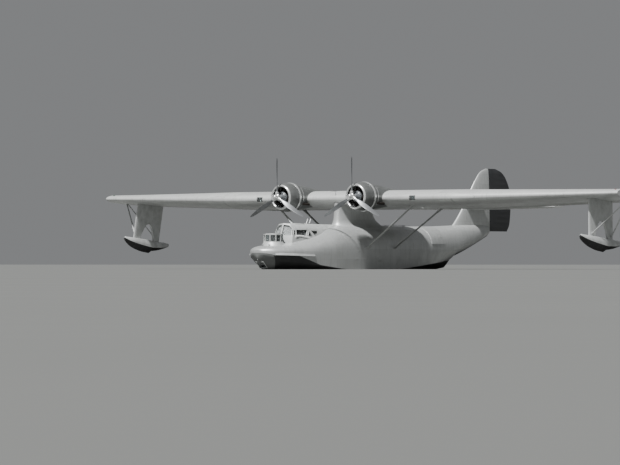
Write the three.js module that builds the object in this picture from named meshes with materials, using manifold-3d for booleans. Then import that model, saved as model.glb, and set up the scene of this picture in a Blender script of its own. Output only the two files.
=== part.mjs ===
// A twin-engined parasol-wing flying boat of the late 1930s, afloat on its own hull.
// Millimetres. X to port, Y aft, Z up. The origin is on the centreline at the waterline,
// above the main step. Heights in the tables are above the keel at the step, and distances
// aft are from the nose, because that is how a hull's lines are drawn.
import * as THREE from "three";
import { mergeVertices } from "three/addons/utils/BufferGeometryUtils.js";
import { ConvexGeometry } from "three/addons/geometries/ConvexGeometry.js";
import Module from "manifold-3d";

const wasm = await Module();
wasm.setup();

// Driving dimensions
const NOSE_TO_STEP = 8400;
const DRAFT = 720;
const SEAM = 0.3; // gap between two pieces that are fitted to each other
const RUNNING_GAP = 10; // gap round the nose of a control surface
const FAR = 40000;

const aft = (fromNose) => fromNose - NOSE_TO_STEP;
const up = (aboveKeel) => aboveKeel - DRAFT;
const rad = THREE.MathUtils.degToRad;
const lerp = THREE.MathUtils.lerp;
const SIDES = { port: 1, starboard: -1 };

// Paint and metal
const paint = (color, roughness = 0.5, metalness = 0.1) =>
  new THREE.MeshStandardMaterial({ color, roughness, metalness });
const SILVER = paint(0xc4c6c6, 0.45, 0.4);
const HULL_SILVER = paint(0xb9bcbd, 0.45, 0.4);
const WING_DOPE = paint(0xc9cac8, 0.55, 0.2);
const TAIL_PAINT = paint(0x7c1f1d, 0.5);
const BARE_METAL = paint(0x9a9c9e, 0.35, 0.9);
const ENGINE_GREY = paint(0x5b5e62, 0.5, 0.5);
const BLADE_METAL = paint(0x8f9194, 0.35, 0.9);
const GLASS = new THREE.MeshStandardMaterial({
  color: 0x9fb0b6,
  roughness: 0.05,
  transparent: true,
  opacity: 0.4,
});
const INTERIOR = paint(0x4f5a4d, 0.7);
const LEATHER = paint(0x4a3527, 0.8);

// Solids and meshes
function solidOf(geometry) {
  const bare = geometry.index ? geometry.toNonIndexed() : geometry.clone();
  for (const name of Object.keys(bare.attributes)) {
    if (name !== "position") bare.deleteAttribute(name);
  }
  const merged = mergeVertices(bare, 1e-3);
  return new wasm.Manifold(
    new wasm.Mesh({
      numProp: 3,
      vertProperties: merged.attributes.position.array,
      triVerts: new Uint32Array(merged.index.array),
    }),
  );
}

function geometryOf(solid) {
  const { vertProperties, triVerts, numProp, numVert } = solid.getMesh();
  const positions = new Float32Array(numVert * 3);
  for (let i = 0; i < numVert; i++) {
    positions.set(vertProperties.subarray(i * numProp, i * numProp + 3), i * 3);
  }
  return new THREE.BufferGeometry()
    .setAttribute("position", new THREE.BufferAttribute(positions, 3))
    .setIndex(new THREE.BufferAttribute(triVerts, 1));
}

const aircraft = new THREE.Group();

function place(name, solid, material) {
  const mesh = new THREE.Mesh(geometryOf(solid), material);
  mesh.name = name;
  aircraft.add(mesh);
  return solid;
}

const mirrored = (solid) => solid.mirror([1, 0, 0]);
const onSide = (solid, side) => (side > 0 ? solid : mirrored(solid));

const largest = (solid) => solid.decompose().sort((a, b) => b.volume() - a.volume())[0];

function block([x0, x1], [y0, y1], [z0, z1]) {
  const box = new THREE.BoxGeometry(x1 - x0, y1 - y0, z1 - z0);
  box.translate((x0 + x1) / 2, (y0 + y1) / 2, (z0 + z1) / 2);
  return solidOf(box);
}

const convex = (points) =>
  solidOf(new ConvexGeometry(points.map(([x, y, z]) => new THREE.Vector3(x, y, z))));

// A closed skin over rings that all have the same number of corners.
function skin(rings) {
  const corners = rings[0].length;
  const positions = rings.flat(2);
  const faces = [];
  for (let ring = 0; ring < rings.length - 1; ring++) {
    for (let i = 0; i < corners; i++) {
      const a = ring * corners + i;
      const b = ring * corners + ((i + 1) % corners);
      faces.push(a, b, b + corners, a, b + corners, a + corners);
    }
  }
  for (const [ring, turned] of [[0, true], [rings.length - 1, false]]) {
    const centre = [0, 1, 2].map(
      (axis) => rings[ring].reduce((sum, p) => sum + p[axis], 0) / corners,
    );
    const middle = positions.length / 3;
    positions.push(...centre);
    for (let i = 0; i < corners; i++) {
      const a = ring * corners + i;
      const b = ring * corners + ((i + 1) % corners);
      faces.push(middle, ...(turned ? [b, a] : [a, b]));
    }
  }
  const shape = new THREE.BufferGeometry()
    .setAttribute("position", new THREE.Float32BufferAttribute(positions, 3))
    .setIndex(faces);
  const solid = solidOf(shape);
  if (solid.volume() > 0) return solid;
  for (let i = 0; i < faces.length; i += 3) {
    [faces[i], faces[i + 1]] = [faces[i + 1], faces[i]];
  }
  return solidOf(shape.setIndex(faces));
}

// A solid of revolution about a fore-and-aft axis through (x, z). The profile is [radius, y].
function turned(profile, [x, z], segments, start = 0) {
  const points = profile.map(([r, y]) => new THREE.Vector2(r, y));
  const lathe = new THREE.LatheGeometry(points, segments, start, 2 * Math.PI);
  lathe.translate(x, 0, z);
  const solid = solidOf(lathe);
  if (solid.volume() > 0) return solid;
  const reversed = new THREE.LatheGeometry(points.reverse(), segments, start, 2 * Math.PI);
  reversed.translate(x, 0, z);
  return solidOf(reversed);
}

// A round bar of constant radius from one point to another.
function bar(from, to, radius, segments = 10) {
  const a = new THREE.Vector3(...from);
  const b = new THREE.Vector3(...to);
  const rod = new THREE.CylinderGeometry(radius, radius, a.distanceTo(b), segments);
  const turn = new THREE.Quaternion().setFromUnitVectors(
    new THREE.Vector3(0, 1, 0),
    b.clone().sub(a).normalize(),
  );
  rod.applyQuaternion(turn);
  rod.translate(...a.add(b).multiplyScalar(0.5).toArray());
  return solidOf(rod);
}

// A streamlined strut between two points, its section long in Y.
function strut(from, to, chord, thickness) {
  const corners = 10;
  const ring = ([x, y, z]) =>
    Array.from({ length: corners }, (_, i) => {
      const turn = (2 * Math.PI * i) / corners;
      return [x + (thickness / 2) * Math.sin(turn), y - (chord / 2) * Math.cos(turn), z];
    });
  return skin([ring(from), ring(to)]);
}

// A ring of points round a centre, square to one axis of the aircraft
function circle([x, y, z], radius, squareTo, corners = 20) {
  return Array.from({ length: corners }, (_, i) => {
    const turn = (2 * Math.PI * i) / corners;
    const [a, b] = [radius * Math.cos(turn), radius * Math.sin(turn)];
    return squareTo === "x" ? [x, y + a, z + b] : [x + a, y + b, z];
  });
}

// The hull's lines
const HULL_SIDE_POWER = 0.8; // under 1 makes the deck's corners squarer than an ellipse
const DECK_STEPS = 6;
const HULL_SECTIONS = [
  // fromNose, keel, chineHalf, chineUp, sideHalf, sideUp, deck
  [0, 1330, 90, 1410, 120, 1490, 1590],
  [130, 1050, 400, 1370, 430, 1500, 1700],
  [400, 760, 690, 1280, 740, 1480, 1770],
  [900, 470, 960, 1190, 1000, 1470, 1830],
  [1600, 230, 1180, 1080, 1210, 1460, 1920],
  [2500, 80, 1350, 960, 1380, 1450, 2100],
  [3500, 15, 1450, 840, 1470, 1460, 2340],
  [4550, 0, 1510, 730, 1530, 1480, 2660],
  [5500, 0, 1540, 660, 1550, 1500, 2770],
  [8400, 0, 1550, 570, 1560, 1500, 2770],
  [8410, 130, 1535, 690, 1560, 1500, 2770],
  [10400, 350, 1420, 850, 1480, 1530, 2760],
  [11300, 455, 1290, 930, 1380, 1560, 2755],
  [12600, 600, 1010, 1040, 1180, 1610, 2760],
  [13500, 700, 690, 1110, 1010, 1650, 2775],
  [14300, 790, 330, 1150, 860, 1690, 2800],
  [14310, 1130, 560, 1400, 858, 1700, 2800],
  [15600, 1500, 420, 1720, 640, 1950, 2850],
  [16900, 1950, 260, 2110, 420, 2300, 2890],
  [17880, 2330, 90, 2420, 170, 2560, 2910],
];

function hullRing([fromNose, keel, chineHalf, chineUp, sideHalf, sideUp, deck], grow = 0) {
  const half = [
    [0, keel - grow],
    [chineHalf * 0.5, lerp(keel, chineUp, 0.42) - grow],
    [chineHalf + grow, chineUp - grow],
    [lerp(chineHalf, sideHalf, 0.7) + grow, lerp(chineUp, sideUp, 0.55)],
  ];
  for (let i = 0; i < DECK_STEPS; i++) {
    const turn = (Math.PI / 2) * (i / DECK_STEPS);
    half.push([
      (sideHalf + grow) * Math.cos(turn) ** HULL_SIDE_POWER,
      sideUp + (deck + grow - sideUp) * Math.sin(turn) ** HULL_SIDE_POWER,
    ]);
  }
  const top = [0, deck + grow];
  const other = half.slice(1).reverse().map(([x, z]) => [-x, z]);
  return [...half, top, ...other].map(([x, z]) => [x, aft(fromNose), up(z)]);
}

const hullShape = (grow = 0, from = 0, to = FAR) =>
  skin(HULL_SECTIONS.filter(([s]) => s >= from && s <= to).map((row) => hullRing(row, grow)));

const between = (fromNose, toNose) => block([-FAR, FAR], [aft(fromNose), aft(toNose)], [-FAR, FAR]);

// Where the hull is divided at its bulkheads
const BOW_BULKHEAD = 2150;
const COCKPIT_BULKHEAD = 4550;
const WAIST_FRONT_BULKHEAD = 11300;
const WAIST_REAR_BULKHEAD = 13500;

const hull = hullShape();
const hullFitted = hullShape(SEAM);
const inFrame = ([x, fromNose, z]) => [x, aft(fromNose), up(z)];

// Cockpit canopy: its corners outside, and layers inside them
const CANOPY_CORNERS = [
  // half width, fromNose, height
  [0, 1640, 1780],
  [560, 1820, 1780],
  [0, 1700, 2230],
  [560, 1890, 2220],
  [0, 1900, 2840],
  [330, 1985, 2800],
  [515, 2100, 2590],
  [640, 3600, 2590],
  [640, 2250, 1900],
  [900, 3600, 1900],
  [980, 4500, 1900],
  [0, 5450, 2800],
  [330, 5450, 2770],
  [560, 5400, 2600],
];
const CANOPY_WALL = 45;
const CANOPY_BACK = 4450;
const GLASS_THICK = 8;

function canopyLayer(inset) {
  const corners = CANOPY_CORNERS.map(([x, fromNose, z]) => [
    Math.max(0, x - inset),
    fromNose < 2000 ? fromNose + inset * 1.2 : fromNose,
    z > 2500 ? z - inset : z,
  ]);
  const bothSides = corners.flatMap(([x, s, z]) => (x ? [[x, s, z], [-x, s, z]] : [[x, s, z]]));
  const whole = convex(bothSides.map(inFrame));
  return inset > 0 ? whole.intersect(between(0, CANOPY_BACK - inset)) : whole;
}
const canopyOuter = canopyLayer(0);
const canopyInner = canopyLayer(CANOPY_WALL);

// Cuts a window through the wall behind its corners
function windowCut(corners, depth = 130) {
  const points = corners.map((p) => new THREE.Vector3(...inFrame(p)));
  const normal = points[1].clone().sub(points[0]).cross(points[2].clone().sub(points[0]));
  normal.setLength(depth);
  const both = points.flatMap((p) => [p.clone().add(normal), p.clone().sub(normal)]);
  return convex(both.map((p) => p.toArray()));
}

// Panes as corners on the canopy's faces: [half width, fromNose, height]
const CANOPY_PANES = {
  windscreen: [
    [40, 1735, 2300],
    [490, 1880, 2300],
    [450, 1985, 2590],
    [310, 1965, 2740],
    [40, 1880, 2780],
  ],
  corner: [[575, 1960, 2290], [592, 2125, 2290], [548, 2130, 2530], [535, 2030, 2530]],
  side_front: [[592, 2165, 2265], [650, 2760, 2240], [592, 2930, 2540], [541, 2165, 2540]],
  side_middle: [[660, 2860, 2238], [697, 3180, 2212], [618, 3020, 2492]],
  side_rear: [[716, 3300, 2275], [735, 3560, 2380], [665, 3560, 2500], [624, 3130, 2515]],
};

const windows = Object.values(CANOPY_PANES).map((pane) => windowCut(pane));
const windowCuts = wasm.Manifold.union([...windows, ...windows.map(mirrored)]);

// Overhead hatches in the canopy's roof
const ROOF_HATCH = { fromNose: [2400, 3060], halfWidth: [60, 310], lip: 20, thick: 18 };
function roofHatchOpening() {
  const { fromNose, halfWidth } = ROOF_HATCH;
  const opening = block(halfWidth, [aft(fromNose[0]), aft(fromNose[1])], [up(2600), up(3000)]);
  return opening.add(mirrored(opening));
}

// Bow gunner's turret
const TURRET = { fromNose: 1180, radius: 450, wall: 40, top: 2340, faces: 10, windowUp: [2000, 2290] };
const turretAxis = aft(TURRET.fromNose);

function drum(radius, z0, z1, faces, footRadius = radius) {
  const geometry = new THREE.CylinderGeometry(radius, footRadius, z1 - z0, faces);
  geometry.rotateX(Math.PI / 2);
  geometry.rotateZ(Math.PI / faces);
  geometry.translate(0, turretAxis, (z0 + z1) / 2);
  return solidOf(geometry);
}

// The bow aiming window lies on a flat facet cut across the stem
const AIM_WINDOW = { fromNose: 330, height: 930, slope: rad(47), width: 460, length: 430, thick: 14 };
function aimBox(width, length, from, to) {
  const { fromNose, height, slope } = AIM_WINDOW;
  const box = new THREE.BoxGeometry(width, to - from, length);
  box.translate(0, (from + to) / 2, 0);
  box.rotateX(slope);
  box.translate(0, aft(fromNose), up(height));
  return solidOf(box);
}

// A spray rail along the bow above the chine, with a sloping top and a flat underside
const SPRAY_RAIL = { fromNose: [400, 2500], height: [1365, 1310], rise: 120, lip: 24, proud: 110 };
function sprayRail(side) {
  const { fromNose: [front, back], height, rise, lip, proud } = SPRAY_RAIL;
  const along = HULL_SECTIONS.filter(([s]) => s >= front && s <= back);
  const rings = along.map(([fromNose, , , , sideHalf]) => {
    const share = (fromNose - front) / (back - front);
    const z = lerp(height[0], height[1], share);
    const edge = sideHalf + proud * Math.min(0.4 + 4 * share, 1 - 0.7 * share);
    const root = sideHalf - 110;
    const outline = [
      [root, z],
      [edge, z],
      [edge, z + lip],
      [sideHalf - 5, z + rise],
      [root, z + rise],
    ];
    return outline.map(([out, height_]) => [side * out, aft(fromNose), up(height_)]);
  });
  return skin(rings);
}

// The crew's compartments: shells with floors, open under the turret and canopy
const BOW_WALL = 70;
const BOW_FLOOR = 860;
const COCKPIT_FLOOR = 1000;
function roomIn(wall, from, to, floor) {
  return hullShape(-wall, 400, COCKPIT_BULKHEAD).intersect(
    block([-FAR, FAR], [aft(from), aft(to)], [up(floor), FAR]),
  );
}
const turretWell = drum(TURRET.radius - TURRET.wall - 10, up(1500), up(2400), TURRET.faces);

function hullBow() {
  const { width, length, thick } = AIM_WINDOW;
  return wasm.Manifold.union([hull, sprayRail(1), sprayRail(-1)])
    .intersect(between(-100, BOW_BULKHEAD - SEAM))
    .subtract(roomIn(BOW_WALL, 450, BOW_BULKHEAD + 10, BOW_FLOOR))
    .subtract(canopyInner)
    .subtract(turretWell)
    .subtract(aimBox(width, length, -600, 0))
    .subtract(aimBox(width - 90, length - 90, -thick, 420));
}
place("hull_bow", largest(hullBow()), HULL_SILVER);

function hullCockpit() {
  const part = wasm.Manifold.union([hull, sprayRail(1), sprayRail(-1)]);
  return part
    .intersect(between(BOW_BULKHEAD, COCKPIT_BULKHEAD - SEAM))
    .subtract(roomIn(BOW_WALL, BOW_BULKHEAD - 10, COCKPIT_BULKHEAD - 60, COCKPIT_FLOOR))
    .subtract(canopyInner);
}
place("hull_cockpit", largest(hullCockpit()), HULL_SILVER);

const { width: aimWidth, length: aimLength, thick: aimThick } = AIM_WINDOW;
place(
  "bow_window",
  aimBox(aimWidth - 2 * SEAM, aimLength - 2 * SEAM, -SEAM - aimThick, -SEAM),
  GLASS,
);

// Fittings with a flat face for what the aircraft is handled by
const BEACHING_PAD = { fromNose: 7200, height: 1200, size: 260, face: 1585 };
function hullCentre() {
  const { fromNose, height, size, face } = BEACHING_PAD;
  const pad = block(
    [face - 120, face],
    [aft(fromNose - size / 2), aft(fromNose + size / 2)],
    [up(height - size / 2), up(height + size / 2)],
  );
  return hull
    .intersect(between(COCKPIT_BULKHEAD, WAIST_FRONT_BULKHEAD - SEAM))
    .add(pad)
    .add(mirrored(pad));
}
place("hull_centre", hullCentre(), HULL_SILVER);

// Waist compartment, with a hatch on each shoulder
const WAIST_WALL = 60;
const WAIST_FLOOR = 1250;
const WAIST_HATCH = { fromNose: [11650, 12850], inboard: 430, sill: 1960, overlap: 45, thick: 22 };
function waistOpening(side, margin) {
  const { fromNose, inboard, sill } = WAIST_HATCH;
  const opening = block(
    [inboard - margin, 2000],
    [aft(fromNose[0] - margin), aft(fromNose[1] + margin)],
    [up(sill - margin), up(3000)],
  );
  return onSide(opening, side);
}
function hullWaist() {
  const room = hullShape(-WAIST_WALL, WAIST_FRONT_BULKHEAD, WAIST_REAR_BULKHEAD).intersect(
    block(
      [-FAR, FAR],
      [aft(WAIST_FRONT_BULKHEAD + 80), aft(WAIST_REAR_BULKHEAD - 80)],
      [up(WAIST_FLOOR), FAR],
    ),
  );
  return hull
    .intersect(between(WAIST_FRONT_BULKHEAD, WAIST_REAR_BULKHEAD - SEAM))
    .subtract(room)
    .subtract(waistOpening(1, 0))
    .subtract(waistOpening(-1, 0));
}
place("hull_waist", hullWaist(), HULL_SILVER);

for (const [name, side] of Object.entries(SIDES)) {
  const { overlap, thick } = WAIST_HATCH;
  const cover = hullShape(SEAM + thick)
    .subtract(hullFitted)
    .intersect(waistOpening(side, overlap));
  place(`waist_hatch_${name}`, largest(cover), HULL_SILVER);
}

// Canopy frame and the glass that lines it
const canopyFrame = canopyOuter
  .subtract(canopyInner)
  .subtract(hullFitted)
  .subtract(windowCuts)
  .subtract(roofHatchOpening());
place("cockpit_canopy", largest(canopyFrame), SILVER);

const canopyGlass = canopyLayer(CANOPY_WALL + SEAM)
  .subtract(canopyLayer(CANOPY_WALL + SEAM + GLASS_THICK))
  .subtract(hullFitted)
  .subtract(roofHatchOpening())
  .intersect(between(0, 3700));
place("canopy_glass", largest(canopyGlass), GLASS);

for (const [name, side] of Object.entries(SIDES)) {
  const { fromNose: [front, back], halfWidth, lip, thick } = ROOF_HATCH;
  const roofAt = (x, s) => lerp(2840, 2800, x / 330) - (40 * (s - 1900)) / 3550;
  const corners = [];
  for (const x of [halfWidth[0] - lip, halfWidth[1] + lip]) {
    for (const s of [front - lip, back + lip]) {
      corners.push([x, s, roofAt(x, s) - 30], [x, s, roofAt(x, s) + thick]);
    }
  }
  const lid = convex(corners.map(inFrame)).subtract(canopyOuter.translate([0, 0, SEAM]));
  place(`roof_hatch_${name}`, onSide(largest(lid), side), SILVER);
}

// Two short posts on one base, behind the overhead hatches
const ROOF_POSTS = [
  // foot fromNose, head fromNose, head height
  [3600, 3720, 3050],
  [3820, 3940, 3050],
];
const postBase = block([-55, 55], [aft(3520), aft(3900)], [up(2790), up(2850)]);
const posts = ROOF_POSTS.map(([foot, head, height]) =>
  bar(inFrame([0, foot, 2790]), inFrame([0, head, height]), 20, 8),
);
place(
  "roof_posts",
  largest(wasm.Manifold.union([postBase, ...posts]).subtract(canopyOuter.translate([0, 0, SEAM]))),
  BARE_METAL,
);

// Turret: a faceted drum on a flared foot, its windows, glass and the hatch that closes it
function turret() {
  const { radius, wall, top, faces, windowUp } = TURRET;
  const roof = 30;
  let shape = drum(radius, up(1700), up(top), faces)
    .add(drum(radius + 8, up(1750), up(1975), faces, radius + 130))
    .subtract(drum(radius - wall, up(1600), up(top - roof), faces))
    .subtract(drum(330, up(2200), up(2500), 20))
    .subtract(hullFitted)
    .subtract(canopyLayer(-SEAM));
  const faceHalf = radius * Math.sin(Math.PI / faces) - 24;
  for (let i = 0; i < faces; i++) {
    const heading = (2 * Math.PI * i) / faces;
    if (Math.cos(heading) < -0.5) continue; // the rear faces are plated
    const cut = new THREE.BoxGeometry(2 * faceHalf, 160, windowUp[1] - windowUp[0]);
    cut.translate(0, -radius, up((windowUp[0] + windowUp[1]) / 2));
    cut.rotateZ(heading);
    cut.translate(0, turretAxis, 0);
    shape = shape.subtract(solidOf(cut));
  }
  return largest(shape);
}
place("bow_turret", turret(), SILVER);
place("bow_hatch", drum(360, up(TURRET.top + SEAM), up(TURRET.top + 22), 20), SILVER);
const turretLiner = TURRET.radius - TURRET.wall - SEAM;
place(
  "turret_glass",
  drum(turretLiner, up(1990), up(TURRET.top - 31), TURRET.faces).subtract(
    drum(turretLiner - GLASS_THICK, up(1900), up(2400), TURRET.faces),
  ),
  GLASS,
);

// Cockpit fittings: a bulkhead with a doorway, the panel, the control yoke and two seats
const floorTop = COCKPIT_FLOOR + SEAM;
const underHull = roomIn(BOW_WALL + SEAM, BOW_BULKHEAD, COCKPIT_BULKHEAD - 60, floorTop);
const insideBow = underHull.add(canopyLayer(CANOPY_WALL + 2 * SEAM + GLASS_THICK));
const BULKHEAD_PLATE = [BOW_BULKHEAD + 2, BOW_BULKHEAD + 25];
const DOORWAY = { halfWidth: 280, top: 1780 };
place(
  "bow_bulkhead",
  largest(
    insideBow
      .intersect(block([-FAR, FAR], BULKHEAD_PLATE.map(aft), [up(floorTop), up(2160)]))
      .subtract(
        block([-DOORWAY.halfWidth, DOORWAY.halfWidth], [-FAR, FAR], [-FAR, up(DOORWAY.top)]),
      ),
  ),
  INTERIOR,
);
place(
  "instrument_panel",
  block([-500, 500], [aft(BULKHEAD_PLATE[1] + SEAM), aft(2240)], [up(1820), up(2150)]),
  INTERIOR,
);

const PILOT_OUT = 420;
const YOKE = { fromNose: 2400, halfSpan: 700, height: 1800, wheel: 160 };
function controlYoke() {
  const { fromNose, halfSpan, height, wheel } = YOKE;
  const depth = [aft(fromNose - 25), aft(fromNose + 25)];
  const post = block([halfSpan - 25, halfSpan + 25], depth, [up(floorTop), up(height + 25)]);
  const cross = block([-halfSpan, halfSpan], depth, [up(height - 25), up(height + 25)]);
  const rimProfile = [
    [wheel - 14, aft(fromNose + 62)],
    [wheel, aft(fromNose + 48)],
    [wheel + 14, aft(fromNose + 62)],
    [wheel, aft(fromNose + 76)],
    [wheel - 14, aft(fromNose + 62)],
  ];
  const rim = turned(rimProfile, [PILOT_OUT, up(height)], 20);
  const wheelBar = (from, to, radius, sides) => bar(inFrame(from), inFrame(to), radius, sides);
  const hub = wheelBar([PILOT_OUT, fromNose, height], [PILOT_OUT, fromNose + 72, height], 30, 10);
  const spokes = wheelBar(
    [PILOT_OUT - wheel, fromNose + 62, height],
    [PILOT_OUT + wheel, fromNose + 62, height],
    10,
    6,
  );
  const half = wasm.Manifold.union([post, rim, hub, spokes]);
  return wasm.Manifold.union([cross, half, mirrored(half)]);
}
place("control_yoke", controlYoke(), INTERIOR);

const SEAT = { halfWidth: 230, fromNose: [2720, 3200], pan: [1450, 1540], backTop: 2130 };
for (const [name, side] of Object.entries(SIDES)) {
  const { halfWidth, fromNose: [front, back], pan, backTop } = SEAT;
  const across = [PILOT_OUT - halfWidth, PILOT_OUT + halfWidth];
  const cushion = block(across, [aft(front), aft(back)], [up(pan[0]), up(pan[1])]);
  const backRest = block(across, [aft(back - 70), aft(back)], [up(pan[1] - 10), up(backTop)]);
  const pedestal = block(
    [PILOT_OUT - 120, PILOT_OUT + 120],
    [aft(front + 120), aft(back - 120)],
    [up(floorTop), up(pan[0] + 10)],
  );
  const seat = wasm.Manifold.union([cushion, backRest, pedestal]);
  place(`seat_${name}`, onSide(seat, side), LEATHER);
}

// Wing
const INCIDENCE = rad(6);
const WING_SECTIONS = [
  // half span, LE fromNose, LE height, chord, thickness share
  [0, 5750, 4030, 4570, 0.165],
  [6700, 5750, 4030, 4570, 0.165],
  [15080, 6900, 4150, 3100, 0.12],
];
const WING_JOIN = 6700; // where the outer panels bolt on
const WING_TIP = WING_SECTIONS.at(-1)[0];
const CAMBER = 0.025;
const FOIL_STATIONS = [0.012, 0.05, 0.13, 0.26, 0.42, 0.6, 0.8, 1];

// Half thickness of a round-nosed section at a share of its chord, for a thickness of 1
const spread = (t) =>
  5 * (0.2969 * Math.sqrt(t) - 0.126 * t - 0.3516 * t ** 2 + 0.2843 * t ** 3 - 0.1036 * t ** 4);
const camberLine = (t, camber = CAMBER) =>
  t < 0.4 ? (camber / 0.16) * (0.8 * t - t * t) : (camber / 0.36) * (0.2 + 0.8 * t - t * t);

const EDGE = 0.0015; // half the trailing edge's thickness, as a share of the chord
const halfThick = (thickness, t) => thickness * spread(t) + EDGE;

// [share of chord, height share] round the section, from the trailing edge over the top
function foil(thickness, camber = CAMBER) {
  const surface = (t, way) => [t, camberLine(t, camber) + way * halfThick(thickness, t)];
  const over = [...FOIL_STATIONS].reverse().map((t) => surface(t, 1));
  const under = FOIL_STATIONS.map((t) => surface(t, -1));
  return [...over, [0, 0], ...under];
}

// Hinge plates stand out of a fixed surface into notches in the moving one's nose
const HINGE_PLATE = { thick: 30, half: 30, reach: 260, behind: 45 };
function alongHinge(shape, centre, direction) {
  shape.applyQuaternion(
    new THREE.Quaternion().setFromUnitVectors(new THREE.Vector3(1, 0, 0), direction.clone().normalize()),
  );
  shape.translate(...centre);
  return solidOf(shape);
}
function hingePlate(centre, direction) {
  const { thick, half, reach } = HINGE_PLATE;
  const web = new THREE.BoxGeometry(thick, reach, 2 * half);
  web.translate(0, -reach / 2, 0);
  const eye = new THREE.CylinderGeometry(half, half, thick, 16);
  eye.rotateZ(Math.PI / 2);
  return alongHinge(web, centre, direction).add(alongHinge(eye, centre, direction));
}
function hingeNotch(centre, direction) {
  const { thick, behind } = HINGE_PLATE;
  const room = new THREE.BoxGeometry(thick + 2 * SEAM, 400 + behind, 800);
  room.translate(0, behind - (400 + behind) / 2, 0);
  return alongHinge(room, centre, direction);
}
const everyHinge = (centres, direction, shape) =>
  wasm.Manifold.union(centres.map((centre) => shape(centre, direction)));

function wingRow(x) {
  const after = WING_SECTIONS.findIndex(([half]) => half >= x);
  const [a, b] = [WING_SECTIONS[Math.max(after, 1) - 1], WING_SECTIONS[Math.max(after, 1)]];
  return a.map((value, column) => lerp(value, b[column], (x - a[0]) / (b[0] - a[0])));
}

// A point of the wing at a half span, a share of the chord and a height share above it
function wingPoint(x, t, h, grow = 0) {
  const [, leading, height, chord] = wingRow(Math.abs(x));
  const full = chord + 2 * grow;
  return [
    x,
    aft(leading - grow) + full * (t * Math.cos(INCIDENCE) + h * Math.sin(INCIDENCE)),
    up(height) + full * (h * Math.cos(INCIDENCE) - t * Math.sin(INCIDENCE)),
  ];
}
function wingRing(x, grow = 0) {
  const [, , , chord, thickness] = wingRow(Math.abs(x));
  return foil(thickness + (2 * grow) / chord).map(([t, h]) => wingPoint(x, t, h, grow));
}
const wingSkin = (from, to, grow = 0) => skin([wingRing(from, grow), wingRing(to, grow)]);

// A point of the chord line at a half span and a distance aft of the nose
function chordPoint(x, fromNose) {
  const [, leading, , chord] = wingRow(Math.abs(x));
  return wingPoint(x, (fromNose - leading) / (chord * Math.cos(INCIDENCE)), 0);
}

const centreWing = wingSkin(-WING_JOIN + SEAM / 2, WING_JOIN - SEAM / 2);
const centreWingFitted = wingSkin(-WING_JOIN, WING_JOIN, SEAM);

// Engines
const ENGINE_OUT = 2200;
const THRUST_HEIGHT = 4080;
const PROP_PLANE = 4200;
const COWL_FRONT = 4440;
const COWL_SEGMENTS = 28;
const CYLINDERS = 14;
const COWL_BORE = 650;
const SHAFT = 42.1; // turns with 0.4 mm to spare in the hub's faceted bore
const engineAxis = (side) => [side * ENGINE_OUT, up(THRUST_HEIGHT)];

const COWL_PROFILE = [
  // radius, aft of the cowl's front: the lip, the outer skin, then back up the inside
  [478, 70], [488, 25], [515, 4], [545, 8], [590, 60], [632, 160], [662, 320], [672, 520],
  [672, 640], [690, 650], [690, 730], [672, 740], [676, 900], [664, 900], [COWL_BORE, 600],
  [COWL_BORE, 260], [560, 130],
];
const FIREWALL = COWL_FRONT + 620;
const NACELLE_PROFILE = [
  // radius, fromNose
  [0, FIREWALL], [520, FIREWALL], [600, FIREWALL + 60], [612, 5380], [626, 5390], [626, 5450],
  [605, 5460], [570, 5900], [480, 6600], [360, 7400], [200, 8100], [0, 8600],
];
const CYLINDER_RADIUS = 68;

function engine(side) {
  const [x, z] = engineAxis(side);
  const at = (s) => aft(COWL_FRONT + s);
  const crankcase = turned(
    [[0, at(-110)], [SHAFT, at(-110)], [SHAFT, at(-40)], [110, at(-30)], [150, at(60)], [250, at(150)],
      [270, at(230)], [270, at(520)], [330, at(560)], [330, at(620) - SEAM], [0, at(620) - SEAM]],
    [x, z],
    20,
  );
  const parts = [crankcase];
  for (let i = 0; i < CYLINDERS; i++) {
    const turn = (2 * Math.PI * i) / CYLINDERS;
    const row = at(i % 2 ? 490 : 335);
    const along = (r) => [x + r * Math.sin(turn), row, z + r * Math.cos(turn)];
    parts.push(bar(along(200), along(COWL_BORE), CYLINDER_RADIUS, 8));
  }
  // The cylinder heads carry the cowling, so they are cut to its bore
  const bore = turned(
    [[0, at(-200)], [COWL_BORE - SEAM, at(-200)], [COWL_BORE - SEAM, at(700)], [0, at(700)]],
    [x, z],
    COWL_SEGMENTS,
    Math.PI / COWL_SEGMENTS,
  );
  return wasm.Manifold.union(parts).intersect(bore);
}

const BLADE_STATIONS = [
  // radius, chord, thickness, pitch in degrees
  [60, 110, 110, 60],
  [320, 120, 100, 55],
  [600, 210, 60, 45],
  [1000, 250, 40, 33],
  [1400, 220, 28, 25],
  [1700, 160, 18, 21],
  [1829, 60, 10, 20],
];
function propeller(side) {
  const [x, z] = engineAxis(side);
  const at = (s) => aft(PROP_PLANE + s);
  const hub = turned(
    [[0, at(-250)], [45, at(-245)], [85, at(-215)], [105, at(-150)], [105, at(-75)], [150, at(-70)],
      [150, at(70)], [95, at(90)], [95, at(190)], [43, at(190)], [43, at(110)], [0, at(110)]],
    [x, z],
    20,
  );
  const parts = [hub];
  for (let blade = 0; blade < 3; blade++) {
    const rings = BLADE_STATIONS.map(([radius, chord, thickness, pitch]) => {
      const corners = 8;
      return Array.from({ length: corners }, (_, i) => {
        const turn = (2 * Math.PI * i) / corners;
        const [wide, deep] = [(chord / 2) * Math.cos(turn), (thickness / 2) * Math.sin(turn)];
        const p = new THREE.Vector3(wide, deep, radius);
        p.applyAxisAngle(new THREE.Vector3(0, 0, 1), rad(pitch - 90));
        p.applyAxisAngle(new THREE.Vector3(0, 1, 0), (2 * Math.PI * blade) / 3);
        return [x + p.x, at(0) + p.y, z + p.z];
      });
    });
    parts.push(skin(rings));
  }
  return wasm.Manifold.union(parts);
}

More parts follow.
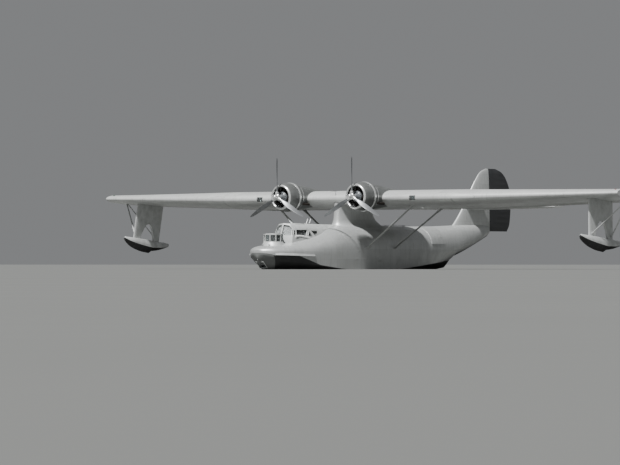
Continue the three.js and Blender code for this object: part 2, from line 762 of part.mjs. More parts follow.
// Exhaust stubs on each nacelle's flanks, behind the cowling
const EXHAUSTS = [
  // turn round the engine in degrees from the bottom, length
  [62, 520],
  [-62, 520],
];
function nacelle(side) {
  const [x, z] = engineAxis(side);
  const pipes = EXHAUSTS.map(([turn, length]) => {
    const out = (r, s) => [x + r * Math.sin(rad(turn)), aft(s), z - r * Math.cos(rad(turn))];
    return bar(out(570, 5330), out(680, 5330 + length), 62, 10);
  });
  const cowlRoom = turned(
    [[0, aft(4000)], [700, aft(4000)], [700, aft(COWL_FRONT + 912)], [0, aft(COWL_FRONT + 912)]],
    [x, z],
    16,
  );
  const body = turned(NACELLE_PROFILE.map(([r, s]) => [r, aft(s)]), [x, z], 24);
  const clearPipes = wasm.Manifold.union(pipes).subtract(cowlRoom);
  return largest(body.add(clearPipes).subtract(centreWingFitted));
}

for (const [name, side] of Object.entries(SIDES)) {
  const cowl = turned(
    [...COWL_PROFILE, COWL_PROFILE[0]].map(([r, s]) => [r, aft(COWL_FRONT + s)]),
    engineAxis(side),
    COWL_SEGMENTS,
    Math.PI / COWL_SEGMENTS,
  );
  place(`cowling_${name}`, cowl, SILVER);
  place(`engine_${name}`, engine(side), ENGINE_GREY);
  place(`propeller_${name}`, propeller(side), BLADE_METAL);
  place(`nacelle_${name}`, nacelle(side), SILVER);
}

// Wing centre section: hoisting pads on top, store pads underneath, a lamp well in each leading edge
const HOIST_PAD = { out: 950, fromNose: 7350, size: 180, face: 4400 };
const STORE_PAD = { out: 3900, fromNose: 7500, size: 160, face: 3540 };
const LAMP = { out: 4500, halfWidth: 170, halfHeight: 105, back: 5915, radius: 100, length: 60 };
function padOn({ out, fromNose, size, face }, root) {
  const pad = block(
    [out - size / 2, out + size / 2],
    [aft(fromNose - size / 2), aft(fromNose + size / 2)],
    [up(Math.min(face, root)), up(Math.max(face, root))],
  );
  return pad.add(mirrored(pad));
}
const lampUp = 4015;
const lampWell = block(
  [LAMP.out - LAMP.halfWidth, LAMP.out + LAMP.halfWidth],
  [aft(5500), aft(LAMP.back)],
  [up(lampUp - LAMP.halfHeight), up(lampUp + LAMP.halfHeight)],
);
place(
  "wing_centre",
  centreWing
    .add(padOn(HOIST_PAD, 4100))
    .add(padOn(STORE_PAD, 3800))
    .subtract(lampWell)
    .subtract(mirrored(lampWell)),
  WING_DOPE,
);
for (const [name, side] of Object.entries(SIDES)) {
  const back = LAMP.back - SEAM;
  const lamp = bar(
    [LAMP.out, aft(back), up(lampUp)],
    [LAMP.out, aft(back - LAMP.length), up(lampUp)],
    LAMP.radius,
    16,
  );
  place(`landing_lamp_${name}`, onSide(lamp, side), GLASS);
}
place(
  "wing_mast",
  largest(bar([0, aft(5860), up(4000)], [0, aft(5820), up(4340)], 14, 8).subtract(centreWingFitted)),
  BARE_METAL,
);

// Outer wing panels and ailerons
const AILERON = { span: [7300, 14300], hinge: 9330, endGap: 20, hinges: [7900, 10800, 13700] };
function aileronAxis(x) {
  const [, leading, , chord, thickness] = wingRow(x);
  const t = (AILERON.hinge - leading) / (chord * Math.cos(INCIDENCE));
  return { centre: wingPoint(x, t, camberLine(t)), radius: halfThick(thickness, t) * chord };
}
const aileronEnds = AILERON.span.map((x) => aileronAxis(x));
const [aileronIn, aileronOut] = aileronEnds.map(({ centre }) => new THREE.Vector3(...centre));
const aileronLine = aileronOut.clone().sub(aileronIn);
const aileronNose = (grow) =>
  skin(aileronEnds.map(({ centre, radius }) => circle(centre, radius + grow, "x", 28)));
function aftOfAileronHinge(endGap) {
  const [inner, outer] = AILERON.span;
  return convex(
    [-3000, 9000].flatMap((z) => [
      [inner + endGap, aileronEnds[0].centre[1], z],
      [outer - endGap, aileronEnds[1].centre[1], z],
      [inner + endGap, 4000, z],
      [outer - endGap, 4000, z],
    ]),
  );
}
const aileronHinges = AILERON.hinges.map((x) => aileronAxis(x).centre);

// Tip floats: the leg's top is carried in a shallow recess under the wing's tip
const FLOAT_OUT = 13300;
const LEG = { fromNose: [7250, 9150], length: 1850, thick: 110, lean: 4.5 };
const RECESS = { fromNose: [7180, 9230], inboard: 13180, depth: 95 };
const hingePoint = chordPoint(FLOAT_OUT, 8200);
const [, hingeY, legTop] = hingePoint;
const tilted = (solid) =>
  solid.translate([0, -hingeY, -legTop]).rotate([-6, 0, 0]).translate([0, hingeY, legTop]);
const tipRecess = (grow) =>
  tilted(
    block(
      [RECESS.inboard + grow, FAR],
      [aft(RECESS.fromNose[0] + grow), aft(RECESS.fromNose[1] - grow)],
      [legTop - 600, legTop - RECESS.depth - grow],
    ),
  );

const outerSkin = wingSkin(WING_JOIN + SEAM / 2, WING_TIP);
const outerFitted = wingSkin(WING_JOIN, WING_TIP, SEAM).subtract(tipRecess(SEAM));
for (const [name, side] of Object.entries(SIDES)) {
  const [inner, outer] = AILERON.span;
  const inboardOf = block([inner + AILERON.endGap, outer - AILERON.endGap], [-FAR, FAR], [-FAR, FAR]);
  const aileron = outerSkin
    .intersect(aftOfAileronHinge(AILERON.endGap).add(aileronNose(0).intersect(inboardOf)))
    .subtract(everyHinge(aileronHinges, aileronLine, hingeNotch));
  place(`aileron_${name}`, onSide(aileron, side), WING_DOPE);
  const fixed = outerSkin
    .subtract(aftOfAileronHinge(0))
    .subtract(aileronNose(RUNNING_GAP))
    .add(everyHinge(aileronHinges, aileronLine, hingePlate))
    .subtract(tipRecess(0));
  place(`wing_outer_${name}`, onSide(largest(fixed), side), WING_DOPE);
}

const FLOAT = { fromNose: 6600, length: 3300 };
const FLOAT_SECTIONS = [
  // share of length, keel drop, chine half, chine drop, deck half
  [0, 70, 45, 40, 30],
  [0.03, 230, 130, 110, 90],
  [0.1, 380, 235, 190, 170],
  [0.25, 520, 310, 270, 240],
  [0.42, 590, 335, 320, 260],
  [0.56, 600, 335, 345, 250],
  [0.565, 510, 330, 330, 250],
  [0.75, 400, 255, 275, 190],
  [0.9, 260, 140, 190, 110],
  [1, 140, 30, 110, 25],
];
const floatOut = FLOAT_OUT + LEG.length * Math.sin(rad(LEG.lean));
const floatDeck = legTop - LEG.length;
function floatHull(grow = 0) {
  const rings = FLOAT_SECTIONS.map(([share, keel, chineHalf, chine, deckHalf]) => {
    const y = aft(FLOAT.fromNose + share * FLOAT.length);
    const half = [
      [0, -keel - grow],
      [chineHalf + grow, -chine],
      [chineHalf * 0.96 + grow, -chine * 0.5],
      [deckHalf + grow, -15 + grow],
      [deckHalf * 0.45, 18 + grow],
    ];
    const other = half.slice(1).reverse().map(([x, z]) => [-x, z]);
    return [...half, ...other].map(([x, z]) => [floatOut + x, y, floatDeck + z]);
  });
  return tilted(skin(rings));
}

// The leg is a flat streamlined plate with an arch cut in its lower half
const LEG_ARCH = [
  // aft of the leg's front edge, above the float's deck
  [380, -90], [520, 330], [680, 640], [860, 800], [1040, 800], [1220, 640], [1370, 330], [1500, -90],
];
const leaned = (solid) =>
  solid.translate([-FLOAT_OUT, 0, -legTop]).rotate([0, -LEG.lean, 0]).translate([FLOAT_OUT, 0, legTop]);
function floatLeg() {
  const [front, back] = LEG.fromNose;
  const half = LEG.thick / 2;
  const bottom = legTop - LEG.length - 110;
  const outline = [[front, -30], [front + 150, half], [back - 350, half], [back, -30]];
  const section = outline.flatMap(([s, w]) => (w > 0 ? [[w, s], [-w, s]] : [[0, s]]));
  const plate = convex(
    section.flatMap(([x, s]) => [
      [FLOAT_OUT + x, aft(s), bottom],
      [FLOAT_OUT + x, aft(s), legTop + 150],
    ]),
  );
  const arch = new THREE.Shape(
    LEG_ARCH.map(([y, z]) => new THREE.Vector2(aft(front) + y, legTop - LEG.length + z)),
  );
  const cutter = new THREE.ExtrudeGeometry(arch, { depth: 600, bevelEnabled: false });
  // The outline's first axis runs aft and its second runs up
  const across = new THREE.Matrix4().set(0, 0, 1, 0, 1, 0, 0, 0, 0, 1, 0, 0, 0, 0, 0, 1);
  cutter.applyMatrix4(across);
  cutter.translate(FLOAT_OUT - 300, 0, 0);
  return tilted(leaned(plate.subtract(solidOf(cutter))));
}

// A V-brace from the wing's tip down to the feet of the leg
const BRACE = { headOut: 14930, headFromNose: 8250, feet: [7420, 8960], footOut: 90, footUp: 120 };
function floatBrace() {
  const { headOut, headFromNose, feet, footOut, footUp } = BRACE;
  const [, headY, headZ] = chordPoint(headOut, headFromNose);
  const head = [headOut, headY, headZ + 10];
  const arms = feet.map((foot) =>
    tilted(strut([floatOut + footOut - 60, aft(foot), floatDeck + footUp], head, 90, 48)),
  );
  return wasm.Manifold.union(arms);
}

const floatFitted = floatHull(SEAM);
const legWhole = floatLeg();
const legFitted = wasm.Manifold.union([-SEAM, SEAM].map((shift) => legWhole.translate([shift, 0, 0])));
for (const [name, side] of Object.entries(SIDES)) {
  place(`float_${name}`, onSide(floatHull(), side), SILVER);
  const leg = legWhole.subtract(outerFitted).subtract(floatFitted);
  place(`float_leg_${name}`, onSide(largest(leg), side), SILVER);
  const brace = floatBrace().subtract(outerFitted).subtract(legFitted).subtract(floatFitted);
  place(`float_brace_${name}`, onSide(largest(brace), side), SILVER);
}

// Pylon between deck and wing, flared into the deck
const PYLON_LEVELS = [
  // height, front and back fromNose, half width
  [2300, 5300, 10100, 1300],
  [2500, 5450, 9850, 1050],
  [2700, 5640, 9400, 680],
  [2850, 5740, 9100, 480],
  [3050, 5790, 8800, 390],
  [3400, 5830, 8560, 350],
  [3950, 5860, 8480, 370],
];
function pylon() {
  const corners = 18;
  const rings = PYLON_LEVELS.map(([height, front, back, half]) =>
    Array.from({ length: corners }, (_, i) => {
      const turn = (2 * Math.PI * i) / corners;
      const t = (1 - Math.cos(turn)) / 2;
      const width = half * Math.abs(Math.sin(turn)) ** 0.85 * (1.15 - 0.35 * t);
      return [Math.sign(Math.sin(turn)) * width, aft(lerp(front, back, t)), up(height)];
    }),
  );
  const clear = skin(rings).subtract(hullFitted).subtract(centreWingFitted);
  return largest(clear.subtract(canopyLayer(-SEAM)));
}
place("pylon", pylon(), SILVER);

// Wing struts: two each side, from the hull's side to the wing's spars
const STRUTS = [
  // name, foot fromNose, foot height, head half span, head fromNose
  ["front", 6250, 1680, 4330, 6550],
  ["rear", 8350, 1680, 4330, 8650],
];
const STRUT_FOOT_OUT = 1500;
for (const [name, side] of Object.entries(SIDES)) {
  for (const [row, footAft, footUp, headOut, headAft] of STRUTS) {
    const foot = [STRUT_FOOT_OUT, aft(footAft), up(footUp)];
    const shape = strut(foot, chordPoint(headOut, headAft), 190, 75)
      .subtract(hullFitted)
      .subtract(centreWingFitted);
    place(`strut_${row}_${name}`, onSide(largest(shape), side), SILVER);
  }
}

// Fin, rudder and the hull's tail
const TAIL_SECTIONS = [
  // height, LE and TE fromNose, thickness share
  [2480, 14550, 19480, 0.085],
  [2930, 15130, 19760, 0.08],
  [3700, 15850, 19850, 0.075],
  [4500, 16460, 19780, 0.07],
  [5150, 16980, 19450, 0.07],
  [5480, 17350, 19030, 0.07],
  [5620, 17760, 18550, 0.07],
];
const RUDDER_HINGE = 17950;
const RUDDER_FOOT = 2560;
const RUDDER_HINGES = [3050, 4350, 5150]; // heights
const rudderHinges = RUDDER_HINGES.map((height) => [0, aft(RUDDER_HINGE), up(height)]);
const upright = new THREE.Vector3(0, 0, 1);
function tailRing([height, leading, trailing, thickness], grow = 0) {
  const chord = trailing - leading + 2 * grow;
  return foil(thickness + (2 * grow) / chord, 0).map(([t, h]) => [
    h * chord,
    aft(leading - grow) + t * chord,
    up(height),
  ]);
}
function rudderNose(grow) {
  const rings = TAIL_SECTIONS.map(([height, leading, trailing, thickness]) => {
    const chord = trailing - leading;
    const radius = halfThick(thickness, (RUDDER_HINGE - leading) / chord) * chord + grow;
    return circle([0, aft(RUDDER_HINGE), up(height)], radius, "z", 24);
  });
  const low = rings[0].map(([x, y]) => [x, y, up(1000)]);
  const high = rings.at(-1).map(([x, y]) => [x, y, up(6000)]);
  return skin([low, ...rings, high]);
}
const tailBlade = skin(TAIL_SECTIONS.map((row) => tailRing(row)));
const aftOfPost = block([-FAR, FAR], [aft(RUDDER_HINGE), FAR], [-FAR, FAR]);
place(
  "hull_tail",
  hull.intersect(between(WAIST_REAR_BULKHEAD, FAR)).subtract(rudderNose(RUNNING_GAP)),
  HULL_SILVER,
);
place(
  "rudder",
  tailBlade
    .intersect(aftOfPost.add(rudderNose(0)))
    .intersect(block([-FAR, FAR], [-FAR, FAR], [up(RUDDER_FOOT), FAR]))
    .subtract(everyHinge(rudderHinges, upright, hingeNotch)),
  TAIL_PAINT,
);

// Tailplane and elevators
const TAILPLANE_HEIGHT = 3720;
const PLANE_SECTIONS = [
  // half span, LE and TE fromNose, thickness share
  [20, 16000, 18480, 0.1],
  [3600, 16380, 18420, 0.09],
  [4350, 16620, 18230, 0.085],
  [4650, 16960, 17900, 0.08],
];
const ELEVATOR_HINGE = 17330;
const ELEVATOR_HINGES = [900, 3300]; // half spans
const elevatorHinges = [1, -1].flatMap((side) =>
  ELEVATOR_HINGES.map((x) => [side * x, aft(ELEVATOR_HINGE), up(TAILPLANE_HEIGHT)]),
);
const athwart = new THREE.Vector3(1, 0, 0);
const planeRing = ([x, leading, trailing, thickness], side, grow) => {
  const chord = trailing - leading + 2 * grow;
  return foil(thickness + (2 * grow) / chord, 0).map(([t, h]) => [
    side * x,
    aft(leading - grow) + t * chord,
    up(TAILPLANE_HEIGHT) + h * chord,
  ]);
};
const wholePlane = (grow = 0) =>
  skin([
    ...[...PLANE_SECTIONS].reverse().map((row) => planeRing(row, -1, grow)),
    ...PLANE_SECTIONS.map((row) => planeRing(row, 1, grow)),
  ]);
function elevatorNose(grow, side = 1) {
  const rings = PLANE_SECTIONS.map(([x, leading, trailing, thickness]) => {
    const chord = trailing - leading;
    const radius = halfThick(thickness, (ELEVATOR_HINGE - leading) / chord) * chord + grow;
    return circle([side * x, aft(ELEVATOR_HINGE), up(TAILPLANE_HEIGHT)], radius, "x");
  });
  const end = rings.at(-1).map(([, y, z]) => [side * 4700, y, z]);
  return skin([...rings, end]);
}
const aftOfElevatorHinge = block([-FAR, FAR], [aft(ELEVATOR_HINGE), FAR], [-FAR, FAR]);
const tailplane = wholePlane()
  .subtract(aftOfElevatorHinge)
  .subtract(elevatorNose(RUNNING_GAP))
  .subtract(elevatorNose(RUNNING_GAP, -1))
  .add(everyHinge(elevatorHinges, athwart, hingePlate));
place("tailplane", largest(tailplane), SILVER);

const aheadOfHinge = block([-FAR, FAR], [-FAR, aft(ELEVATOR_HINGE)], [-FAR, FAR]);
const tailplaneFitted = wholePlane(SEAM).intersect(aheadOfHinge);
place(
  "fin",
  largest(
    tailBlade
      .subtract(aftOfPost)
      .subtract(rudderNose(RUNNING_GAP))
      .add(everyHinge(rudderHinges, upright, hingePlate))
      .subtract(hullFitted)
      .subtract(tailplaneFitted),
  ),
  SILVER,
);

// The elevators' inner ends are cut back to let the rudder swing between them
const RUDDER_ROOM = [
  // half width, fromNose
  [190, 17100],
  [440, 18600],
];
const rudderRoom = convex(
  RUDDER_ROOM.flatMap(([x, s]) => [[-10, s], [x, s]]).flatMap(([x, s]) => [
    [x, aft(s), up(3000)],
    [x, aft(s), up(4500)],
  ]),
);
for (const [name, side] of Object.entries(SIDES)) {
  const elevator = wholePlane()
    .intersect(aftOfElevatorHinge.add(elevatorNose(0)))
    .intersect(block([0, FAR], [-FAR, FAR], [-FAR, FAR]))
    .subtract(rudderRoom)
    .subtract(everyHinge(elevatorHinges, athwart, hingeNotch));
  place(`elevator_${name}`, onSide(largest(elevator), side), SILVER);
}

export default aircraft;
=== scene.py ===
"""The looks of a twin-engined parasol-wing flying boat of the late 1930s, afloat on its own hull.

Metres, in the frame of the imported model: X to port, Y aft, Z up, with the origin on the centreline
at the waterline, above the main step. Heights in the tables are above the keel at the step, and
distances aft are from the nose, as a hull's lines are drawn.
"""

import math

import bmesh
import bpy
import numpy as np
from mathutils import Matrix, Vector
from mathutils.bvhtree import BVHTree


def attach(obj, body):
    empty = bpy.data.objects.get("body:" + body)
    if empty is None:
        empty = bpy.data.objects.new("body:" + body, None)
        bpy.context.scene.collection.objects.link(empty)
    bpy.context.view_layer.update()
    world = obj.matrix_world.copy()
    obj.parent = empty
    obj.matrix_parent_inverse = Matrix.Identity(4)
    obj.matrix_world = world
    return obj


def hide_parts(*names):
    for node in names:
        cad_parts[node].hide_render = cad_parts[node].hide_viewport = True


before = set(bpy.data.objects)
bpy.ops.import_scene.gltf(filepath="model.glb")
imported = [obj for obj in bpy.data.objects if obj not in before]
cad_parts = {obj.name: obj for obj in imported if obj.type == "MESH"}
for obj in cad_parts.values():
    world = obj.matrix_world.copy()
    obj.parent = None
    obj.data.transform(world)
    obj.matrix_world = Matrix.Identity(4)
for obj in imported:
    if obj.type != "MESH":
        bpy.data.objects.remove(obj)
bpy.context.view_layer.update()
scene = bpy.context.scene

NOSE_TO_STEP = 8.4
DRAFT = 0.72
SEAM = 0.0003  # gap between two pieces that are fitted to each other
RUNNING_GAP = 0.010  # gap round the nose of a control surface
FAR = 40.0
ALL = (-FAR, FAR)
SIDES = {"port": 1, "starboard": -1}


def aft(from_nose):
    return from_nose - NOSE_TO_STEP


def up(above_keel):
    return above_keel - DRAFT


def in_frame(point):
    """A point from its half width, its distance from the nose and its height above the keel."""
    x, from_nose, z = point
    return (x, aft(from_nose), up(z))


def lerp(a, b, t):
    return a + (b - a) * t


def turns(count):
    """Angles evenly spaced round a circle."""
    return np.linspace(0, 2 * math.pi, count, endpoint=False)


# Making, cutting and finishing meshes
scraps = []


def solid(vertices, faces, name="tool"):
    """A mesh object from vertices and faces."""
    mesh = bpy.data.meshes.new(name)
    mesh.from_pydata([tuple(v) for v in vertices], [], faces)
    made = bpy.data.objects.new(name, mesh)
    scene.collection.objects.link(made)
    scraps.append(made)
    return made


def edit(piece, work):
    """Changes a piece's mesh with one bmesh function."""
    mesh = bmesh.new()
    mesh.from_mesh(piece.data)
    work(mesh)
    mesh.to_mesh(piece.data)
    mesh.free()
    return piece


def outward(piece):
    """Joins vertices that lie on each other, and turns every face outwards."""

    def work(mesh):
        bmesh.ops.remove_doubles(mesh, verts=mesh.verts, dist=1e-6)
        bmesh.ops.recalc_face_normals(mesh, faces=mesh.faces)

    return edit(piece, work)


def quads(rings, around, looped=False):
    """Faces between rings of points, and from the last ring to the first if looped."""
    faces = []
    for ring in range(rings if looped else rings - 1):
        start, after = ring * around, (ring + 1) % rings * around
        for i in range(around):
            j = (i + 1) % around
            faces.append((start + i, start + j, after + j, after + i))
    return faces


def skin(rings, kinds=None):
    """A closed solid over rings that all have the same number of points.

    kinds gives each column of faces its material's place in the piece's list."""
    rings = np.asarray(rings, float)
    count, around = rings.shape[:2]
    vertices, faces = rings.reshape(-1, 3).tolist(), quads(count, around)
    for ring in (0, count - 1):
        faces += [(ring * around + i, ring * around + (i + 1) % around, len(vertices)) for i in range(around)]
        vertices.append(rings[ring].mean(axis=0).tolist())
    made = solid(vertices, faces)
    if kinds is not None:
        made.data.polygons.foreach_set("material_index", list(kinds) * (count + 1))
    return outward(made)


def block(x=ALL, y=ALL, z=ALL):
    """A box from the low and high values along each axis."""
    corners = [(a, b, c) for a in x for b in y for c in z]
    faces = [(0, 1, 3, 2), (4, 6, 7, 5), (0, 4, 5, 1), (2, 3, 7, 6), (0, 2, 6, 4), (1, 5, 7, 3)]
    return outward(solid(corners, faces))


def convex(points):
    """The closed solid that the points span."""
    made = solid(points, [])

    def work(mesh):
        hull = bmesh.ops.convex_hull(mesh, input=mesh.verts)
        loose = hull["geom_interior"] + hull["geom_unused"]
        spare = {g for g in loose if isinstance(g, bmesh.types.BMVert)}
        bmesh.ops.delete(mesh, geom=list(spare), context="VERTS")
        bmesh.ops.dissolve_limit(mesh, angle_limit=0.002, verts=mesh.verts, edges=mesh.edges)
        bmesh.ops.recalc_face_normals(mesh, faces=mesh.faces)

    return edit(made, work)


def turned(profile, centre, segments, closed=False):
    """A solid of revolution about a fore-and-aft axis. The profile is [radius, distance aft]."""
    x, z = centre
    vertices = [(x + r * math.sin(t), y, z + r * math.cos(t)) for r, y in profile for t in turns(segments)]
    return outward(solid(vertices, quads(len(profile), segments, closed)))


def frames_along(path, closed):
    """Points of a path with two directions square to it, turned as little as possible."""
    path = [Vector(p) for p in path]
    count = len(path)
    tangents = []
    for i in range(count):
        before = path[(i - 1) % count] if closed or i else path[i]
        after = path[(i + 1) % count] if closed or i < count - 1 else path[i]
        tangents.append((after - before).normalized())
    side = tangents[0].orthogonal().normalized()
    rows = []
    for point, tangent in zip(path, tangents):
        side = (side - tangent * side.dot(tangent)).normalized()
        rows.append((point, side, tangent.cross(side)))
    return rows


def tube(path, radius, sides=8, closed=False, flat=1.0):
    """A round bar along a path. The radius is one number, or one for each point."""
    rows = frames_along(path, closed)
    rings = []
    for (point, a, b), r in zip(rows, np.broadcast_to(radius, len(rows))):
        rings.append([point + a * r * math.cos(t) + b * r * flat * math.sin(t) for t in turns(sides)])
    if not closed:
        return skin(rings)
    return outward(solid([point for ring in rings for point in ring], quads(len(rings), sides, True)))


def strut(start, end, chord, thickness, swell=(1, 1)):
    """A streamlined bar between two points, its section long in Y and swelled at each end."""
    section = [(thickness / 2 * math.sin(t), -chord / 2 * math.cos(t)) for t in turns(20)]
    ends = zip((start, end), swell)
    return skin([[(x + u * grow, y + v * grow, z) for u, v in section] for (x, y, z), grow in ends])


def bake(piece):
    """Applies a piece's modifiers to its mesh."""
    graph = bpy.context.evaluated_depsgraph_get()
    made = bpy.data.meshes.new_from_object(piece.evaluated_get(graph))
    old = piece.data
    piece.modifiers.clear()
    piece.data = made
    bpy.data.meshes.remove(old)
    return piece


def carve(piece, how, tools):
    for tool in tools:
        step = piece.modifiers.new("carve", "BOOLEAN")
        step.solver = "MANIFOLD"
        step.operation = how
        step.object = tool
    return bake(piece)


def cut(piece, *tools):
    """Takes the tools away from a piece."""
    return carve(piece, "DIFFERENCE", tools)


def keep(piece, *tools):
    """Leaves what a piece shares with each tool."""
    return carve(piece, "INTERSECT", tools)


def fuse(piece, *tools):
    return carve(piece, "UNION", tools)


def moved(piece, matrix):
    piece.data.transform(matrix)
    if matrix.determinant() < 0:
        edit(piece, lambda mesh: bmesh.ops.reverse_faces(mesh, faces=mesh.faces))
    return piece


def copied(piece):
    made = piece.copy()
    made.data = piece.data.copy()
    scene.collection.objects.link(made)
    scraps.append(made)
    return made


def on_side(piece, side):
    """A copy of a port piece, mirrored for the other side."""
    return copied(piece) if side > 0 else moved(copied(piece), Matrix.Diagonal((-1, 1, 1, 1)))


def together(parts):
    """One mesh from several, not fused."""
    mesh = bmesh.new()
    for part in parts:
        mesh.from_mesh(part.data)
    made = solid([], [])
    mesh.to_mesh(made.data)
    mesh.free()
    return made


def with_mirror(piece):
    return together([piece, on_side(piece, -1)])


def largest(piece):
    """Keeps only the largest connected part of a mesh."""

    def work(mesh):
        left, islands = set(mesh.verts), []
        while left:
            stack = [left.pop()]
            island = set(stack)
            while stack:
                for edge in stack.pop().link_edges:
                    found = left.intersection(edge.verts)
                    left -= found
                    island |= found
                    stack += found
            islands.append(island)
        islands.sort(key=len)
        spare = [v for island in islands[:-1] for v in island]
        bmesh.ops.delete(mesh, geom=spare, context="VERTS")

    return edit(piece, work)


def rounded_edges(piece, width, segments=2):
    step = piece.modifiers.new("bevel", "BEVEL")
    step.width, step.segments = width, segments
    step.limit_method = "ANGLE"
    step.angle_limit = math.radians(25)
    step.use_clamp_overlap = True
    return bake(piece)


def marked(piece, material):
    """Gives every face of a piece the material at a place in its list."""
    piece.data.polygons.foreach_set("material_index", [material] * len(piece.data.polygons))
    return piece


def place(piece, name, materials, node=None, body="airframe", angle=35):
    """Makes a finished piece: its name, materials, shading, body, and the CAD node it stands for."""
    scraps.remove(piece)
    piece.name = piece.data.name = name
    marks = np.zeros(len(piece.data.polygons), np.int32)
    piece.data.polygons.foreach_get("material_index", marks)
    piece.data.materials.clear()
    materials = materials if isinstance(materials, list) else [materials]
    for material in materials:
        piece.data.materials.append(material)
    piece.data.polygons.foreach_set("material_index", np.minimum(marks, len(materials) - 1))
    piece.data.shade_smooth()
    piece.data.set_sharp_from_angle(angle=math.radians(angle))
    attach(piece, body)
    if node:
        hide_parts(node)
    return piece


def place_pair(piece, name, materials, node=None, body=None, across=on_side, angle=35):
    """Places a port piece and its copy on the other side. Node and body are named without a side."""
    for side_name, side in SIDES.items():
        own_node = node and f"{node}_{side_name}"
        own_body = f"{body}_{side_name}" if body else "airframe"
        place(across(piece, side), f"{name}_{side_name}", materials, own_node, own_body, angle)


def through(knots, rows, at):
    """A smooth curve through rows of values, which never overshoots them."""
    gaps = np.diff(knots)
    slopes = np.diff(rows, axis=0) / gaps[:, None]
    tangents = np.zeros_like(rows)
    tangents[0], tangents[-1] = slopes[0], slopes[-1]
    for i in range(1, len(knots) - 1):
        before, after = 2 * gaps[i] + gaps[i - 1], gaps[i] + 2 * gaps[i - 1]
        level = slopes[i - 1] * slopes[i] <= 0
        safe = np.where(level, 1.0, slopes[i - 1]), np.where(level, 1.0, slopes[i])
        tangents[i] = np.where(level, 0, (before + after) / (before / safe[0] + after / safe[1]))
    i = np.clip(np.searchsorted(knots, at, side="right") - 1, 0, len(gaps) - 1)
    gap = gaps[i][:, None]
    t = ((at - knots[i]) / gaps[i])[:, None]
    return (
        (2 * t**3 - 3 * t**2 + 1) * rows[i]
        + (t**3 - 2 * t**2 + t) * gap * tangents[i]
        + (3 * t**2 - 2 * t**3) * rows[i + 1]
        + (t**3 - t**2) * gap * tangents[i + 1]
    )


def through_table(table, at):
    """Rows of a table at places along its first column, with that column in front."""
    return np.column_stack([at, through(table[:, 0], table[:, 1:], at)])


def through_roots(table, roots):
    """Rows of a table whose curves run on the square root of its first column, for a round nose."""
    return np.column_stack([roots**2, through(np.sqrt(table[:, 0]), table[:, 1:], roots)])


def bend(before, corner, after, steps):
    """Points of a curve that rounds a corner."""
    shares = [step / steps for step in range(steps + 1)]
    return [before * (1 - t) ** 2 + corner * 2 * t * (1 - t) + after * t**2 for t in shares]


def rounded(corners, radius):
    """A closed outline whose corners are rounded."""
    corners = [Vector(c) for c in corners]
    outline = []
    for i, corner in enumerate(corners):
        ends = []
        for other in (corners[i - 1], corners[(i + 1) % len(corners)]):
            reach = min(radius, (other - corner).length * 0.45)
            ends.append(corner + (other - corner).normalized() * reach)
        outline += bend(ends[0], corner, ends[1], 4)
    return outline


def rounded_path(points, radius, steps=3):
    """An open path whose inner corners are rounded."""
    points = [Vector(p) for p in points]
    path = [points[0]]
    for before, corner, after in zip(points, points[1:], points[2:]):
        a = corner + (before - corner).normalized() * min(radius, (before - corner).length / 2)
        b = corner + (after - corner).normalized() * min(radius, (after - corner).length / 2)
        path += bend(a, corner, b, steps)
    return [*path, points[-1]]


def disc(centre, radius, thick, way, sides=24):
    """A round plate that stands on its centre, facing a way."""
    centre = Vector(centre)
    return tube([centre, centre + Vector(way).normalized() * thick], radius, sides)


def loop_about(centre, radius, thick, square_to=(0, 1, 0), steps=32):
    """A round bar bent into a ring."""
    way = Vector(square_to).normalized()
    across = way.orthogonal().normalized()
    over = way.cross(across)
    spokes = [across * math.cos(t) + over * math.sin(t) for t in turns(steps)]
    return tube([Vector(centre) + spoke * radius for spoke in spokes], thick, closed=True)


# Materials
def colour(hex_value):
    """Linear colour from an sRGB hex value."""
    parts = [int(hex_value[i : i + 2], 16) / 255 for i in (1, 3, 5)]
    return (*[c / 12.92 if c <= 0.04045 else ((c + 0.055) / 1.055) ** 2.4 for c in parts], 1)


def add(tree, kind, inputs=None, **settings):
    """Adds a node with its own settings, and its inputs set to values or linked to outputs."""
    made = tree.nodes.new(kind)
    for name, value in settings.items():
        setattr(made, name, value)
    for socket, value in (inputs or {}).items():
        if isinstance(value, bpy.types.NodeSocket):
            tree.links.new(value, made.inputs[socket])
        else:
            made.inputs[socket].default_value = value
    return made


def new_material(name):
    """A material with its shader and its object coordinates."""
    made = bpy.data.materials.new(name)
    made.use_nodes = True
    tree = made.node_tree
    return made, tree, tree.nodes["Principled BSDF"], add(tree, "ShaderNodeTexCoord").outputs["Object"]


def layered(tree, base, layers):
    """Lays tints over a base colour. A layer has the value that drives it, that value's low and high,
    the tint's share at the high, and the tint."""
    for value, low, high, most, tint in layers:
        sockets = {"Value": value, "From Min": low, "From Max": high, "To Max": most}
        share = add(tree, "ShaderNodeMapRange", sockets).outputs[0]
        base = add(tree, "ShaderNodeMix", {0: share, 6: base, 7: colour(tint)}, data_type="RGBA").outputs[2]
    return base


def uneven_gloss(tree, shader, value, high, smoothest, roughest):
    """Makes the roughness follow a noise that runs from 0.3 to its high."""
    sockets = {"Value": value, "From Min": 0.3, "From Max": high, "To Min": smoothest, "To Max": roughest}
    tree.links.new(add(tree, "ShaderNodeMapRange", sockets).outputs[0], shader.inputs["Roughness"])


